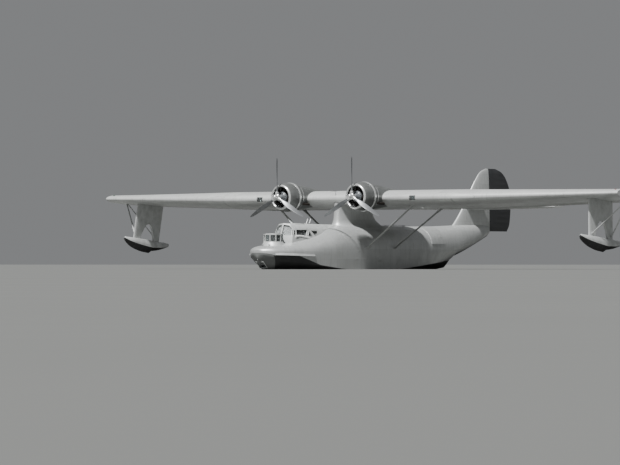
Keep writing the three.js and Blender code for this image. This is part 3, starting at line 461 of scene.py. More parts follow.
def painted_plates(name, paint, plate, metal, axes):
    """Satin lacquer on riveted sheet: plates that differ a little, laps between them, faint streaks.

    plate is the sheets' length and width in metres, laid along the two named axes."""
    made, tree, shader, at = new_material(name)
    grime, lap_shade = "#7c7d7a", "#4b4c4b"
    parts = add(tree, "ShaderNodeSeparateXYZ", {0: at})
    flat = add(tree, "ShaderNodeCombineXYZ", {"X": parts.outputs[axes[0]], "Y": parts.outputs[axes[1]]})
    # The laps are drawn wider than real ones, so that they show
    pattern = {
        "Vector": flat.outputs[0], "Color1": (0.40, 0.40, 0.40, 1), "Color2": (0.62, 0.62, 0.62, 1),
        "Mortar": (0.5, 0.5, 0.5, 1), "Scale": 1.0, "Mortar Size": 0.004, "Mortar Smooth": 0.4,
        "Brick Width": plate[0], "Row Height": plate[1],
    }
    sheets = add(tree, "ShaderNodeTexBrick", pattern, offset=0.0)
    # Uneven lacquer, mottled over about half a metre, and streaks that run down the sheets
    mottle = add(tree, "ShaderNodeTexNoise", {"Vector": at, "Scale": 1.7, "Detail": 5.0, "Roughness": 0.6})
    stretch = add(tree, "ShaderNodeMapping", {"Vector": at, "Scale": (9.0, 9.0, 0.7)})
    streak = add(tree, "ShaderNodeTexNoise", {"Vector": stretch.outputs[0], "Scale": 1.0, "Detail": 3.0})
    darker = "#%02x%02x%02x" % tuple(round(int(paint[i : i + 2], 16) * 0.94) for i in (1, 3, 5))
    base = layered(tree, colour(darker), [
        (sheets.outputs["Color"], 0.40, 0.62, 1.0, paint),
        (mottle.outputs["Fac"], 0.35, 0.80, 0.3, grime),
        (streak.outputs["Fac"], 0.52, 0.78, 0.3, grime),
        (sheets.outputs["Fac"], 0.0, 1.0, 0.35, lap_shade),
    ])
    tree.links.new(base, shader.inputs["Base Color"])
    uneven_gloss(tree, shader, mottle.outputs["Fac"], 0.8, 0.35, 0.52)
    shader.inputs["Metallic"].default_value = metal
    # The sheets belly slightly between their frames, and each lap is a small step
    ripple = add(tree, "ShaderNodeTexNoise", {"Vector": at, "Scale": 2.6, "Detail": 1.0})
    belly = add(tree, "ShaderNodeBump", {"Height": ripple.outputs["Fac"], "Strength": 0.22, "Distance": 0.02})
    step = {"Height": sheets.outputs["Fac"], "Strength": 0.4, "Distance": 0.0015, "Normal": belly.outputs[0]}
    lap = add(tree, "ShaderNodeBump", step, invert=True)
    tree.links.new(lap.outputs[0], shader.inputs["Normal"])
    return made


def mottled(name, first, second, scale, rough, metal=0.0, bump=0.002, stretch=(1, 1, 1)):
    """A finish with two tones mixed by noise, and a fine uneven surface."""
    made, tree, shader, at = new_material(name)
    laid_out = add(tree, "ShaderNodeMapping", {"Vector": at, "Scale": stretch}).outputs[0]
    sizes = {"Vector": laid_out, "Scale": scale, "Detail": 6.0, "Roughness": 0.62}
    cloud = add(tree, "ShaderNodeTexNoise", sizes).outputs["Fac"]
    base = layered(tree, colour(first), [(cloud, 0.32, 0.72, 1.0, second)])
    tree.links.new(base, shader.inputs["Base Color"])
    uneven_gloss(tree, shader, cloud, 0.75, rough - 0.08, rough + 0.1)
    shader.inputs["Metallic"].default_value = metal
    # The real grain is too fine to show, so it is drawn at a ninth of the clouds' size
    grain = add(tree, "ShaderNodeTexNoise", {"Vector": laid_out, "Scale": scale * 9, "Detail": 3.0})
    fine = add(tree, "ShaderNodeBump", {"Height": grain.outputs["Fac"], "Strength": 0.5, "Distance": bump})
    tree.links.new(fine.outputs[0], shader.inputs["Normal"])
    return made


# Aluminium lacquer over riveted aluminium sheet: a soft grey sheen that shows every plate
HULL_LACQUER = painted_plates("aluminium_lacquer_hull", "#bcbebd", (2.20, 0.46), 0.45, (1, 2))
WING_LACQUER = painted_plates("aluminium_lacquer_wing", "#d0d2d0", (1.98, 0.62), 0.4, (0, 1))
TRIM_LACQUER = mottled("aluminium_lacquer_trim", "#c2c4c3", "#a6a8a6", 3.0, 0.5, 0.35)
# Lacquer on the window sills, paler than any other, a painted highlight along their rounded tops: the palest
# finish of all
SILL_LACQUER = mottled("sill_painted_highlight", "#e6e7e5", "#d6d7d5", 5.0, 0.45, 0.1)
# The stem ahead of the bottom paint: lacquer darkened to a mid grey, painted shade where the stem faces down
# and forward
STEM_LACQUER = mottled("stem_lacquer_painted_shade", "#6c6e6d", "#5a5c5a", 2.4, 0.55, 0.2)
# Bituminous bottom paint: near black, chalked and scuffed along the chine
BOTTOM_PAINT = mottled("bituminous_bottom_paint", "#17181a", "#2b2b2a", 2.2, 0.55, bump=0.004)
# Doped linen: duller than the metal, silver on the wing and near black on the rudder
DOPED_LINEN = mottled("silver_doped_linen", "#c3c5c2", "#a8aaa6", 1.4, 0.52, 0.25, bump=0.003)
DARK_LINEN = mottled("dark_doped_linen", "#262729", "#343537", 1.6, 0.5, bump=0.003)
# Engine cowl: lacquer a darker grey than the airframe's, with bright rolled rings
COWL_LACQUER = mottled("dark_grey_cowl_lacquer", "#737574", "#565756", 3.2, 0.40, 0.4, stretch=(1, 0.35, 1))
# Bright rolled rings: polished metal, pale all round, partly a painted highlight on their rounded edges; the
# hubs, roof posts and lamp bowls share it
BRIGHT_RING = mottled("bright_aluminium_and_painted_highlight", "#e6e7e6", "#d2d3d2", 6.0, 0.27, 0.75)
# Air-cooled engine: black enamelled barrels, paler sand-cast heads and a grey enamelled crankcase
BARREL_ENAMEL = mottled("black_barrel_enamel", "#37383a", "#545558", 20.0, 0.45, 0.3)
CAST_HEADS = mottled("cast_alloy_heads", "#b4b6b8", "#8d8f91", 16.0, 0.5, 0.4, bump=0.001)
CRANKCASE = mottled("grey_crankcase_enamel", "#6b6e71", "#505356", 9.0, 0.42, 0.2)
# Exhausts and pushrod tubes: steel that heat has browned
STEEL_TUBE = mottled("heat_stained_steel", "#4d4641", "#2c2826", 14.0, 0.42, 0.8)
# Forged duralumin blades, ground along their length
BLADE_METAL = mottled("ground_duralumin", "#8f9193", "#77797b", 5.0, 0.38, 0.75, stretch=(1, 1, 0.2))
# Cleats, caps and rails that use has rubbed bare: a dull grey shine
BARE_METAL = mottled("bare_worn_aluminium", "#b4b5b6", "#8b8c8d", 12.0, 0.36, 0.9)
# Interior zinc chromate primer: dull green
PRIMER = mottled("interior_primer", "#566150", "#475142", 4.0, 0.7)
# Wrinkled black enamel on the instrument panel: a fine matt grain
CRACKLE = mottled("crackle_black", "#141414", "#1d1d1d", 60.0, 0.6, bump=0.001)
# Brown hide on the seats' cushions, darkened where it is rubbed: a dull, creased surface
LEATHER = mottled("worn_brown_leather", "#4e3324", "#33211a", 14.0, 0.6, bump=0.003)
# Rubber of the walkways, weathered to a matt dark grey. Its strips on the windscreen's corner posts are
# painted shade, for the dark gap there
RUBBER_WALK = mottled("walkway_rubber", "#3a3b3b", "#4a4b4a", 8.0, 0.8)
# Black paint on the dials, and cream on their needles and marks, which stand out against it
DIAL_FACE = mottled("matt_dial_face", "#0c0c0d", "#161617", 90.0, 0.35)
NEEDLE = mottled("pale_needle_paint", "#d9d6c4", "#c4c1b0", 90.0, 0.5)
# Dyed glass over the tip lights: a deep colour with a sharp gloss
RED_GLASS = mottled("red_lamp_glass", "#7d1512", "#5c0f0d", 30.0, 0.12, bump=0.0)
GREEN_GLASS = mottled("green_lamp_glass", "#12502c", "#0d3a20", 30.0, 0.12, bump=0.0)


def glazing(name, haze):
    """Thin acrylic sheet: clear, with a pale grey haze mixed in by a noise that dulls it by the share given.
    """
    made, tree, shader, at = new_material(name)
    shader.inputs["Base Color"].default_value = colour("#dfe6e6")
    shader.inputs["Transmission Weight"].default_value = 1.0
    shader.inputs["IOR"].default_value = 1.49
    smear = add(tree, "ShaderNodeTexNoise", {"Vector": at, "Scale": 11.0, "Detail": 5.0}).outputs["Fac"]
    uneven_gloss(tree, shader, smear, 0.8, 0.02, 0.14)
    pale_haze = add(tree, "ShaderNodeBsdfDiffuse", {"Color": colour("#b9bcbc")})
    sockets = {"Value": smear, "From Min": 0.3, "From Max": 0.75, "To Min": haze * 0.6, "To Max": haze * 1.3}
    share = add(tree, "ShaderNodeMapRange", sockets)
    mixed = add(tree, "ShaderNodeMixShader", {0: share.outputs[0], 1: shader.outputs[0], 2: pale_haze.outputs[0]})
    tree.links.new(mixed.outputs[0], tree.nodes["Material Output"].inputs["Surface"])
    return made


CLEAR_PANE = glazing("clear_acrylic", 0.06)
HAZED_PANE = glazing("pale_hazed_acrylic", 0.55)


# Repeated details, laid along lines by Geometry Nodes
WAY_OUT = ("GeometryNodeInputNamedAttribute", {"Name": "out"}, {"data_type": "FLOAT_VECTOR"})
ALONG_LINE = ("GeometryNodeInputTangent", {}, {})


def line_tree(name, **numbers):
    """The start of a tree that takes a mesh of lines, named numbers and a finish."""
    tree = bpy.data.node_groups.new(name, "GeometryNodeTree")
    socket = tree.interface.new_socket
    socket("Lines", in_out="INPUT", socket_type="NodeSocketGeometry")
    for label, value in numbers.items():
        socket(label, in_out="INPUT", socket_type="NodeSocketFloat").default_value = value
    socket("Finish", in_out="INPUT", socket_type="NodeSocketMaterial")
    socket("Pieces", in_out="OUTPUT", socket_type="NodeSocketGeometry")
    given = add(tree, "NodeGroupInput").outputs
    curve = add(tree, "GeometryNodeMeshToCurve", {"Mesh": given["Lines"]}).outputs["Curve"]
    return tree, given, curve


def end_tree(tree, given, shape):
    real = add(tree, "GeometryNodeRealizeInstances", {"Geometry": shape})
    done = add(tree, "GeometryNodeSetMaterial", {"Geometry": real.outputs[0], "Material": given["Finish"]})
    add(tree, "NodeGroupOutput", {"Pieces": done.outputs[0]})
    return tree


def spaced_tree(name, kind, shape, facing, **numbers):
    """Copies of one small shape at a pitch along the lines, standing along a direction."""
    tree, given, curve = line_tree(name, **numbers)
    way_kind, way_inputs, way_settings = facing
    way = add(tree, way_kind, way_inputs, **way_settings)
    spaced = add(tree, "GeometryNodeResampleCurve", {"Curve": curve, "Length": given["Pitch"]}, mode="LENGTH")
    turn = add(tree, "FunctionNodeAlignRotationToVector", {"Vector": way.outputs[0]}, axis="Z")
    sizes = {"X": given["Radius"], "Y": given["Radius"], "Z": given["Height"]}
    size = add(tree, "ShaderNodeCombineXYZ", sizes)
    copies = add(tree, "GeometryNodeInstanceOnPoints", {
        "Points": spaced.outputs[0],
        "Instance": add(tree, kind, shape).outputs["Mesh"],
        "Rotation": turn.outputs[0],
        "Scale": size.outputs[0],
    })
    return end_tree(tree, given, copies.outputs[0])


def ribbon_tree():
    """A flat strip along each line, lying on the surface under it."""
    tree, given, curve = line_tree("ribbons", Width=0.04, Height=0.0015)
    way_kind, way_inputs, way_settings = WAY_OUT
    way = add(tree, way_kind, way_inputs, **way_settings).outputs[0]
    faced = add(tree, "GeometryNodeSetCurveNormal", {"Curve": curve, "Normal": way}, mode="FREE")
    sizes = {"Width": given["Height"], "Height": given["Width"]}
    section = add(tree, "GeometryNodeCurvePrimitiveQuadrilateral", sizes, mode="RECTANGLE")
    sockets = {"Curve": faced.outputs[0], "Profile Curve": section.outputs[0], "Fill Caps": True}
    return end_tree(tree, given, add(tree, "GeometryNodeCurveToMesh", sockets).outputs[0])


FIN_SHAPE = {"Vertices": 14, "Radius": 1.0, "Depth": 1.0}
RIVET_SHAPE = {"Vertices": 6, "Radius Top": 0.5, "Radius Bottom": 1.0, "Depth": 1.0}
SIZES = {"Pitch": 0.012, "Radius": 0.066, "Height": 0.0025}
FIN_TREE = spaced_tree("fins", "GeometryNodeMeshCylinder", FIN_SHAPE, ALONG_LINE, **SIZES)
RIVET_TREE = spaced_tree("rivets", "GeometryNodeMeshCone", RIVET_SHAPE, WAY_OUT, **SIZES)
RIBBON_TREE = ribbon_tree()


def grown(tree, lines, finish, **numbers):
    """A piece made of details along lines. A line is a row of points, each with its way out."""
    points = [tuple(point) for line in lines for point, _ in line]
    ways = [value for line in lines for _, way in line for value in way]
    edges, first = [], 0
    for line in lines:
        edges += [(first + i, first + i + 1) for i in range(len(line) - 1)]
        first += len(line)
    made = solid([], [])
    made.data.from_pydata(points, edges, [])
    made.data.attributes.new("out", "FLOAT_VECTOR", "POINT").data.foreach_set("vector", ways)
    step = made.modifiers.new("laid", "NODES")
    step.node_group = tree
    wanted = {**numbers, "Finish": finish}
    for item in tree.interface.items_tree:
        if item.in_out == "INPUT" and item.name in wanted:
            step[item.identifier] = wanted[item.name]
    return bake(made)


def surface_of(*names, paints=None):
    """A search tree over finished pieces, or over their faces with some of their materials."""
    vertices, faces = [], []
    for name in names:
        mesh, first = bpy.data.objects[name].data, len(vertices)
        vertices += [tuple(v.co) for v in mesh.vertices]
        wanted = [p for p in mesh.polygons if paints is None or p.material_index in paints]
        faces += [[first + i for i in p.vertices] for p in wanted]
    return BVHTree.FromPolygons(vertices, faces)


def spot_on(surface, point):
    """The surface's nearest point, and its way out there."""
    return surface.find_nearest(Vector(point))[:2]


def laid(surface, lines, reach=0.02):
    """Drops lines on a surface. A line is broken where it leaves the surface."""
    kept = []
    for line in lines:
        run = []
        for point in [*line, None]:
            spot, way = (None, None) if point is None else surface.find_nearest(Vector(point), reach)[:2]
            if spot is not None:
                run.append((spot, way))
                continue
            if len(run) > 1:
                kept.append(run)
            run = []
    return kept


def mirrored_lines(lines):
    return [*lines, *[[(-x, y, z) for x, y, z in line] for line in lines]]


RIVETS = {
    # pitch, radius and height
    "hull": (0.110, 0.0080, 0.0035),
    "wing": (0.130, 0.0080, 0.0035),
    "canopy": (0.070, 0.0060, 0.0030),
    "turret": (0.055, 0.0055, 0.0030),
    "float": (0.070, 0.0060, 0.0030),
    "cowl": (0.050, 0.0060, 0.0030),
}


def rivet_rows(surface, lines, kind, finish, reach):
    pitch, radius, height = RIVETS[kind]
    return grown(RIVET_TREE, laid(surface, lines, reach), finish, Pitch=pitch, Radius=radius, Height=height)


def rivets(name, surface, lines, kind="hull", finish=TRIM_LACQUER, reach=0.02):
    place(rivet_rows(surface, lines, kind, finish, reach), name, finish)


def ribbons(name, surface, lines, size, finish=TRIM_LACQUER, body="airframe"):
    """Strips of a width and a height, laid on a surface."""
    width, height = size
    strips = grown(RIBBON_TREE, laid(surface, lines), finish, Width=width, Height=height)
    place(strips, name, finish, body=body)


def ship_block(x=ALL, s=ALL, h=ALL):
    """A box from its half widths, its distances from the nose and its heights above the keel."""
    return block(x, [aft(value) for value in s], [up(value) for value in h])


# Hull lines
BOTTOM_STEPS, SIDE_STEPS, DECK_STEPS = 8, 9, 22
HULL_SIDE_POWER = 0.8  # under 1 makes the deck's corners squarer than an ellipse
HULL_LINES = np.array([
    # from nose, keel, chine half, chine up, side half, side up, deck
    [0, 1.330, 0.090, 1.410, 0.120, 1.490, 1.590],
    [0.13, 1.050, 0.400, 1.370, 0.430, 1.500, 1.700],
    [0.4, 0.760, 0.690, 1.280, 0.740, 1.480, 1.770],
    [0.9, 0.470, 0.960, 1.190, 1.000, 1.470, 1.830],
    [1.6, 0.230, 1.180, 1.080, 1.210, 1.460, 1.920],
    [2.5, 0.080, 1.350, 0.960, 1.380, 1.450, 2.100],
    [3.5, 0.015, 1.450, 0.840, 1.470, 1.460, 2.340],
    [4.55, 0, 1.510, 0.730, 1.530, 1.480, 2.660],
    [5.5, 0, 1.540, 0.660, 1.550, 1.500, 2.770],
    [8.4, 0, 1.550, 0.570, 1.560, 1.500, 2.770],
    [8.41, 0.130, 1.535, 0.690, 1.560, 1.500, 2.770],
    [10.4, 0.350, 1.420, 0.850, 1.480, 1.530, 2.760],
    [11.3, 0.455, 1.290, 0.930, 1.380, 1.560, 2.755],
    [12.6, 0.600, 1.010, 1.040, 1.180, 1.610, 2.760],
    [13.5, 0.700, 0.690, 1.110, 1.010, 1.650, 2.775],
    [14.3, 0.790, 0.330, 1.150, 0.860, 1.690, 2.800],
    [14.31, 1.130, 0.560, 1.400, 0.858, 1.700, 2.800],
    [15.6, 1.500, 0.420, 1.720, 0.640, 1.950, 2.850],
    [16.9, 1.950, 0.260, 2.110, 0.420, 2.300, 2.890],
    [17.88, 2.330, 0.090, 2.420, 0.170, 2.560, 2.910],
])
FOREBODY, AFTERBODY, TAIL_CONE = HULL_LINES[:10], HULL_LINES[10:16], HULL_LINES[16:]
STATION_PITCH = 0.16
ROOT_PITCH = 0.042


def hull_rows(start, end):
    """Rows of the hull's lines, closely spaced. The forebody is spaced by root, for a round nose."""
    rows = []
    for lines in (FOREBODY, AFTERBODY, TAIL_CONE):
        low, high = max(start, lines[0, 0]), min(end, lines[-1, 0])
        if high - low < 1e-6:
            continue
        if lines is FOREBODY:
            low, high = math.sqrt(low), math.sqrt(high)
            steps = max(3, round((high - low) / ROOT_PITCH))
            rows.append(through_roots(lines, np.linspace(low, high, steps)))
        else:
            steps = max(3, round((high - low) / STATION_PITCH))
            rows.append(through_table(lines, np.linspace(low, high, steps)))
    return np.vstack(rows)


def row_at(s):
    """The hull's lines at one place."""
    if s <= FOREBODY[-1, 0]:
        return through_roots(FOREBODY, np.array([math.sqrt(s)]))[0]
    return through_table(AFTERBODY if s <= AFTERBODY[-1, 0] else TAIL_CONE, [s])[0]


def hull_half(row, grow=0.0):
    """Half a section of the hull, from the keel to the deck's middle, as [half width, height]."""
    _, keel, chine_half, chine_up, side_half, side_up, deck = row
    points = []
    for t in np.linspace(0, 1, BOTTOM_STEPS, endpoint=False):
        points.append((chine_half * t + grow * t, lerp(keel, chine_up, t * (0.68 + 0.32 * t)) - grow))
    for t in np.linspace(0, 1, SIDE_STEPS, endpoint=False):
        x = lerp(chine_half, side_half, 1 - (1 - t) ** 1.5) + grow
        points.append((x, lerp(chine_up - grow, side_up, t)))
    for turn in np.linspace(0, math.pi / 2, DECK_STEPS, endpoint=False):
        across, high = math.cos(turn) ** HULL_SIDE_POWER, math.sin(turn) ** HULL_SIDE_POWER
        points.append(((side_half + grow) * across, side_up + (deck + grow - side_up) * high))
    return [*points, (0.0, deck + grow)]


def hull_ring(row, grow):
    half = hull_half(row, grow)
    return [in_frame((x, row[0], z)) for x, z in [*half, *[(-x, z) for x, z in half[-2:0:-1]]]]


RING_POINTS = 2 * (BOTTOM_STEPS + SIDE_STEPS + DECK_STEPS)
BOTTOM_COLUMNS = [int(min(i, RING_POINTS - 1 - i) < BOTTOM_STEPS) for i in range(RING_POINTS)]


def hull_solid(start, end, grow=0.0):
    return skin([hull_ring(row, grow) for row in hull_rows(start, end)], BOTTOM_COLUMNS)


def hull_point(s, share, grow):
    """A point on the hull's skin at a share of the way round from the chine to the deck's centre."""
    half = hull_half(row_at(s), grow)[BOTTOM_STEPS:]
    at = share * (len(half) - 1)
    low = min(int(at), len(half) - 2)
    x, z = (lerp(a, b, at - low) for a, b in zip(half[low], half[low + 1]))
    return Vector(in_frame((x, s, z)))


def side_point(s, z):
    """A point on the hull's side or shoulder at a height above the waterline."""
    half = hull_half(row_at(s))[BOTTOM_STEPS:]
    return (float(np.interp(z, [up(h) for _, h in half], [x for x, _ in half])), aft(s), z)


def chine_point(s):
    half_width, height = row_at(s)[2:4]
    return in_frame((half_width, s, height))


def side_loop(start, end, low, high, radius):
    """A rounded outline on the hull's side."""
    outline = rounded([(start, low, 0), (end, low, 0), (end, high, 0), (start, high, 0)], radius)
    return [side_point(p.x, p.y) for p in [*outline, outline[0]]]


BOW_BULKHEAD = 2.150
COCKPIT_BULKHEAD = 4.550
WAIST_FRONT_BULKHEAD = 11.300
WAIST_REAR_BULKHEAD = 13.500
HULL_END = 17.880

# Cockpit canopy
CANOPY_CORNERS = [
    # half width, from nose, height
    [0, 1.640, 1.780], [0.560, 1.820, 1.780], [0, 1.700, 2.230], [0.560, 1.890, 2.220],
    [0, 1.900, 2.840], [0.330, 1.985, 2.800], [0.515, 2.100, 2.590], [0.640, 3.600, 2.590],
    [0.640, 2.250, 1.900], [0.900, 3.600, 1.900], [0.980, 4.500, 1.900], [0, 5.450, 2.800],
    [0.330, 5.450, 2.770], [0.560, 5.400, 2.600],
]
CANOPY_WALL = 0.045
CANOPY_BACK = 4.450
GLASS_THICK = 0.008
PANE_CUT = 0.130  # how far a pane's opening is cut to each side of its plane
CANOPY_PANES = {
    "windscreen": [
        [0.040, 1.735, 2.300], [0.490, 1.880, 2.300], [0.450, 1.985, 2.590], [0.310, 1.965, 2.740],
        [0.040, 1.880, 2.780],
    ],
    "corner": [[0.575, 1.960, 2.290], [0.592, 2.125, 2.290], [0.548, 2.130, 2.530], [0.535, 2.030, 2.530]],
    "side_front": [
        [0.592, 2.165, 2.265], [0.650, 2.760, 2.240], [0.592, 2.930, 2.540], [0.541, 2.165, 2.540],
    ],
    "side_middle": [[0.660, 2.860, 2.238], [0.697, 3.180, 2.212], [0.618, 3.020, 2.492]],
    "side_rear": [
        [0.716, 3.300, 2.275], [0.735, 3.560, 2.380], [0.665, 3.560, 2.500], [0.624, 3.130, 2.515],
    ],
}


def canopy_layer(inset):
    """The canopy's solid, drawn in by a wall's thickness."""
    corners = []
    for x, s, z in CANOPY_CORNERS:
        at = (max(0, x - inset), s + inset * 1.2 if s < 2 else s, z - inset if z > 2.5 else z)
        corners += [in_frame((side * at[0], *at[1:])) for side in (1, -1)]
    whole = convex(corners)
    return keep(whole, ship_block(s=(0, CANOPY_BACK - inset))) if inset > 0 else whole


def pane_outline(name):
    return rounded([in_frame(c) for c in CANOPY_PANES[name]], 0.045)


def pane_tool(name):
    outline = pane_outline(name)
    corners = [Vector(in_frame(c)) for c in CANOPY_PANES[name]]
    depth = (corners[1] - corners[0]).cross(corners[2] - corners[0]).normalized() * PANE_CUT
    return convex([p + depth for p in outline] + [p - depth for p in outline])


ROOF_HATCH = {"from_nose": (2.400, 3.060), "half_width": (0.060, 0.310), "lip": 0.020, "thick": 0.018}


def roof_hatch_tools():
    tool = ship_block(ROOF_HATCH["half_width"], ROOF_HATCH["from_nose"], (2.6, 3.0))
    return tool, on_side(tool, -1)


TURRET = {
    "from_nose": 1.180, "radius": 0.450, "wall": 0.040, "top": 2.340, "faces": 10, "window": (2.000, 2.290),
}


def turret_ring(radius, angles, height):
    y = aft(TURRET["from_nose"])
    return [(radius * math.sin(t), y - radius * math.cos(t), up(height)) for t in angles]


def drum(radius, low, high, faces=TURRET["faces"], foot=None):
    """An upright drum on the turret's axis, with flats if it has few faces."""
    angles = turns(faces) + math.pi / faces
    return skin([turret_ring(foot or radius, angles, low), turret_ring(radius, angles, high)])


AIM_WINDOW = {"centre": (0, 0.330, 0.930), "slope": 47, "width": 0.460, "length": 0.430, "thick": 0.014}


def aim_block(inset, low, high):
    """A block square to the aiming window, smaller all round than its opening."""
    width, length = AIM_WINDOW["width"] - inset, AIM_WINDOW["length"] - inset
    tool = block((-width / 2, width / 2), (low, high), (-length / 2, length / 2))
    turn = Matrix.Rotation(math.radians(AIM_WINDOW["slope"]), 4, "X")
    return moved(tool, Matrix.Translation(in_frame(AIM_WINDOW["centre"])) @ turn)


SPRAY_RAIL = {
    "from_nose": (0.400, 2.500), "height": (1.365, 1.310), "rise": 0.120, "lip": 0.024, "proud": 0.110,
}


def spray_rail(side, start, end):
    """The rail over the bow's chine on one side, with a sloping top and a flat underside."""
    front, back = SPRAY_RAIL["from_nose"]
    rise, lip = SPRAY_RAIL["rise"], SPRAY_RAIL["lip"]
    rings = []
    for row in hull_rows(max(start, front), min(end, back)):
        share = (row[0] - front) / (back - front)
        z = lerp(*SPRAY_RAIL["height"], share)
        edge = row[4] + SPRAY_RAIL["proud"] * min(0.4 + 4 * share, 1 - 0.7 * share)
        root = row[4] - 0.110
        section = [(root, z), (edge - 0.008, z), (edge, z + 0.006), (edge, z + lip - 0.006)]
        section += [(edge - 0.008, z + lip), (row[4] - 0.005, z + rise), (root, z + rise)]
        rings.append([in_frame((side * x, row[0], height)) for x, height in section])
    return skin(rings)


BOW_WALL = 0.070
BOW_FLOOR = 0.860
COCKPIT_FLOOR = 1.000
LACQUERED, PAINTED, LINED, STEM_SHADE = range(4)
HULL_PAINTS = [HULL_LACQUER, BOTTOM_PAINT, PRIMER, STEM_LACQUER]


def room(wall, start, end, floor):
    tool = hull_solid(max(start, 0.4), end, -wall)
    return marked(keep(tool, ship_block(s=(start, end), h=(floor, FAR))), LINED)


BEACHING_PAD = {"from_nose": 7.200, "height": 1.200, "half": 0.130, "face": 1.585, "root": 1.465}
WAIST_WALL = 0.060
WAIST_FLOOR = 1.250
WAIST_HATCH = {
    "from_nose": (11.650, 12.850), "inboard": 0.430, "sill": 1.960, "overlap": 0.045, "thick": 0.022,
}
WAIST_FRAMES = (11.56, 11.98, 12.52, 12.94)
WAIST_HANDLES = (11.95, 12.55)


def waist_tool(margin):
    start, end = WAIST_HATCH["from_nose"]
    x = (WAIST_HATCH["inboard"] - margin, 2.0)
    return ship_block(x, (start - margin, end + margin), (WAIST_HATCH["sill"] - margin, 3.0))


# The bottom paint stops at a line that slants from the chine down to the keel. Behind it the paint
# climbs to the spray rail, and falls back to the chine along a second line.
PAINT_EDGES = [
    # two points of each line, as distances from the nose and heights
    [(0.400, 1.280), (0.980, 0.500)],
    [(1.600, 1.330), (3.000, 0.890)],
    list(zip(SPRAY_RAIL["from_nose"], SPRAY_RAIL["height"])),
    [(0, 1.480), (0.400, 1.390)],  # the top of the stem's darker lacquer, painted shade
]


def clear_stem(piece):
    """Takes the bottom paint off the stem, and carries it up to the spray rail behind."""
    planes = []
    for (s, h), (end_s, end_h) in PAINT_EDGES:
        planes.append((Vector(in_frame((0, s, h))), Vector((0, h - end_h, end_s - s)).normalized()))

    def work(mesh):
        for on_line, square in planes:
            everything = [*mesh.verts, *mesh.edges, *mesh.faces]
            bmesh.ops.bisect_plane(mesh, geom=everything, plane_co=on_line, plane_no=square, dist=1e-5)
        for face in mesh.faces:
            middle = face.calc_center_median()
            sides = [(middle - on_line).dot(square) > 0 for on_line, square in planes]
            behind, over_fall, over_rail, over_stem = sides
            # Ahead of the first line, the stem below its top line takes the darker lacquer, painted shade
            if not behind:
                face.material_index = LACQUERED if over_stem else STEM_SHADE
            elif not over_fall and not over_rail and abs(face.normal.x) > 0.1:
                face.material_index = PAINTED

    return edit(piece, work)


def place_hull(piece, name, node):
    place(piece, name, HULL_PAINTS, node)


def build_bow():
    bow = clear_stem(hull_solid(0, BOW_BULKHEAD - SEAM))
    fuse(bow, *[spray_rail(side, 0, BOW_BULKHEAD - SEAM) for side in (1, -1)])
    well = marked(drum(TURRET["radius"] - TURRET["wall"] - 0.01, 1.5, 2.4), LINED)
    cockpit = marked(canopy_layer(CANOPY_WALL), LINED)
    cut(bow, room(BOW_WALL, 0.45, BOW_BULKHEAD + 0.01, BOW_FLOOR), cockpit, well)
    cut(bow, aim_block(0, -0.6, 0), aim_block(0.09, -AIM_WINDOW["thick"], 0.42))
    place_hull(largest(bow), "bow_shell", "hull_bow")


def build_cockpit_hull():
    cockpit = clear_stem(hull_solid(BOW_BULKHEAD, COCKPIT_BULKHEAD - SEAM))
    fuse(cockpit, *[spray_rail(side, BOW_BULKHEAD, SPRAY_RAIL["from_nose"][1]) for side in (1, -1)])
    inside = room(BOW_WALL, BOW_BULKHEAD - 0.01, COCKPIT_BULKHEAD - 0.06, COCKPIT_FLOOR)
    cut(cockpit, inside, marked(canopy_layer(CANOPY_WALL), LINED))
    place_hull(largest(cockpit), "cockpit_shell", "hull_cockpit")


def build_centre_hull():
    centre = hull_solid(COCKPIT_BULKHEAD, WAIST_FRONT_BULKHEAD - SEAM)
    at, level, half = (BEACHING_PAD[k] for k in ("from_nose", "height", "half"))
    x = (BEACHING_PAD["root"], BEACHING_PAD["face"])
    pad = rounded_edges(ship_block(x, (at - half, at + half), (level - half, level + half)), 0.012)
    place_hull(fuse(centre, pad, on_side(pad, -1)), "centre_shell", "hull_centre")


def build_waist():
    waist = hull_solid(WAIST_FRONT_BULKHEAD, WAIST_REAR_BULKHEAD - SEAM)
    hold = hull_solid(WAIST_FRONT_BULKHEAD, WAIST_REAR_BULKHEAD, -WAIST_WALL)
    room_ends = (WAIST_FRONT_BULKHEAD + 0.08, WAIST_REAR_BULKHEAD - 0.08)
    keep(hold, ship_block(s=room_ends, h=(WAIST_FLOOR, FAR)))
    opening = waist_tool(0)
    cut(waist, marked(hold, LINED), opening, on_side(opening, -1))
    place_hull(waist, "waist_shell", "hull_waist")

    ribs = []
    start, end = WAIST_HATCH["from_nose"]
    for s in WAIST_FRAMES:
        top = WAIST_HATCH["sill"] - 0.03 if start < s < end else FAR  # the hatch breaks its frames
        inside = [(x, s, z) for x, z in hull_half(row_at(s), -WAIST_WALL) if WAIST_FLOOR < z < top]
        ribs.append(with_mirror(tube([in_frame(p) for p in inside], 0.022, 6)))
    place(together(ribs), "waist_frames", PRIMER)


def hatch_handle(s):
    """A bent grab handle near the waist lid's lower edge."""
    share, thick = 0.52, WAIST_HATCH["thick"]
    ends = [hull_point(s + d, share, thick - 0.004) for d in (-0.07, 0.07)]
    proud = [hull_point(s + d, share, thick + 0.035) for d in (-0.055, 0.055)]
    return tube(rounded_path([ends[0], *proud, ends[1]], 0.02), 0.008, 6)


def build_waist_lids():
    outer = hull_solid(WAIST_FRONT_BULKHEAD, WAIST_REAR_BULKHEAD, SEAM + WAIST_HATCH["thick"])
    fitted = hull_solid(WAIST_FRONT_BULKHEAD - 0.2, WAIST_REAR_BULKHEAD + 0.2, SEAM)
    cover = marked(largest(keep(cut(outer, fitted), waist_tool(WAIST_HATCH["overlap"]))), LACQUERED)
    lid = together([cover, *[hatch_handle(s) for s in WAIST_HANDLES]])
    place_pair(lid, "waist_lid", HULL_LACQUER, "waist_hatch", "waist_hatch")


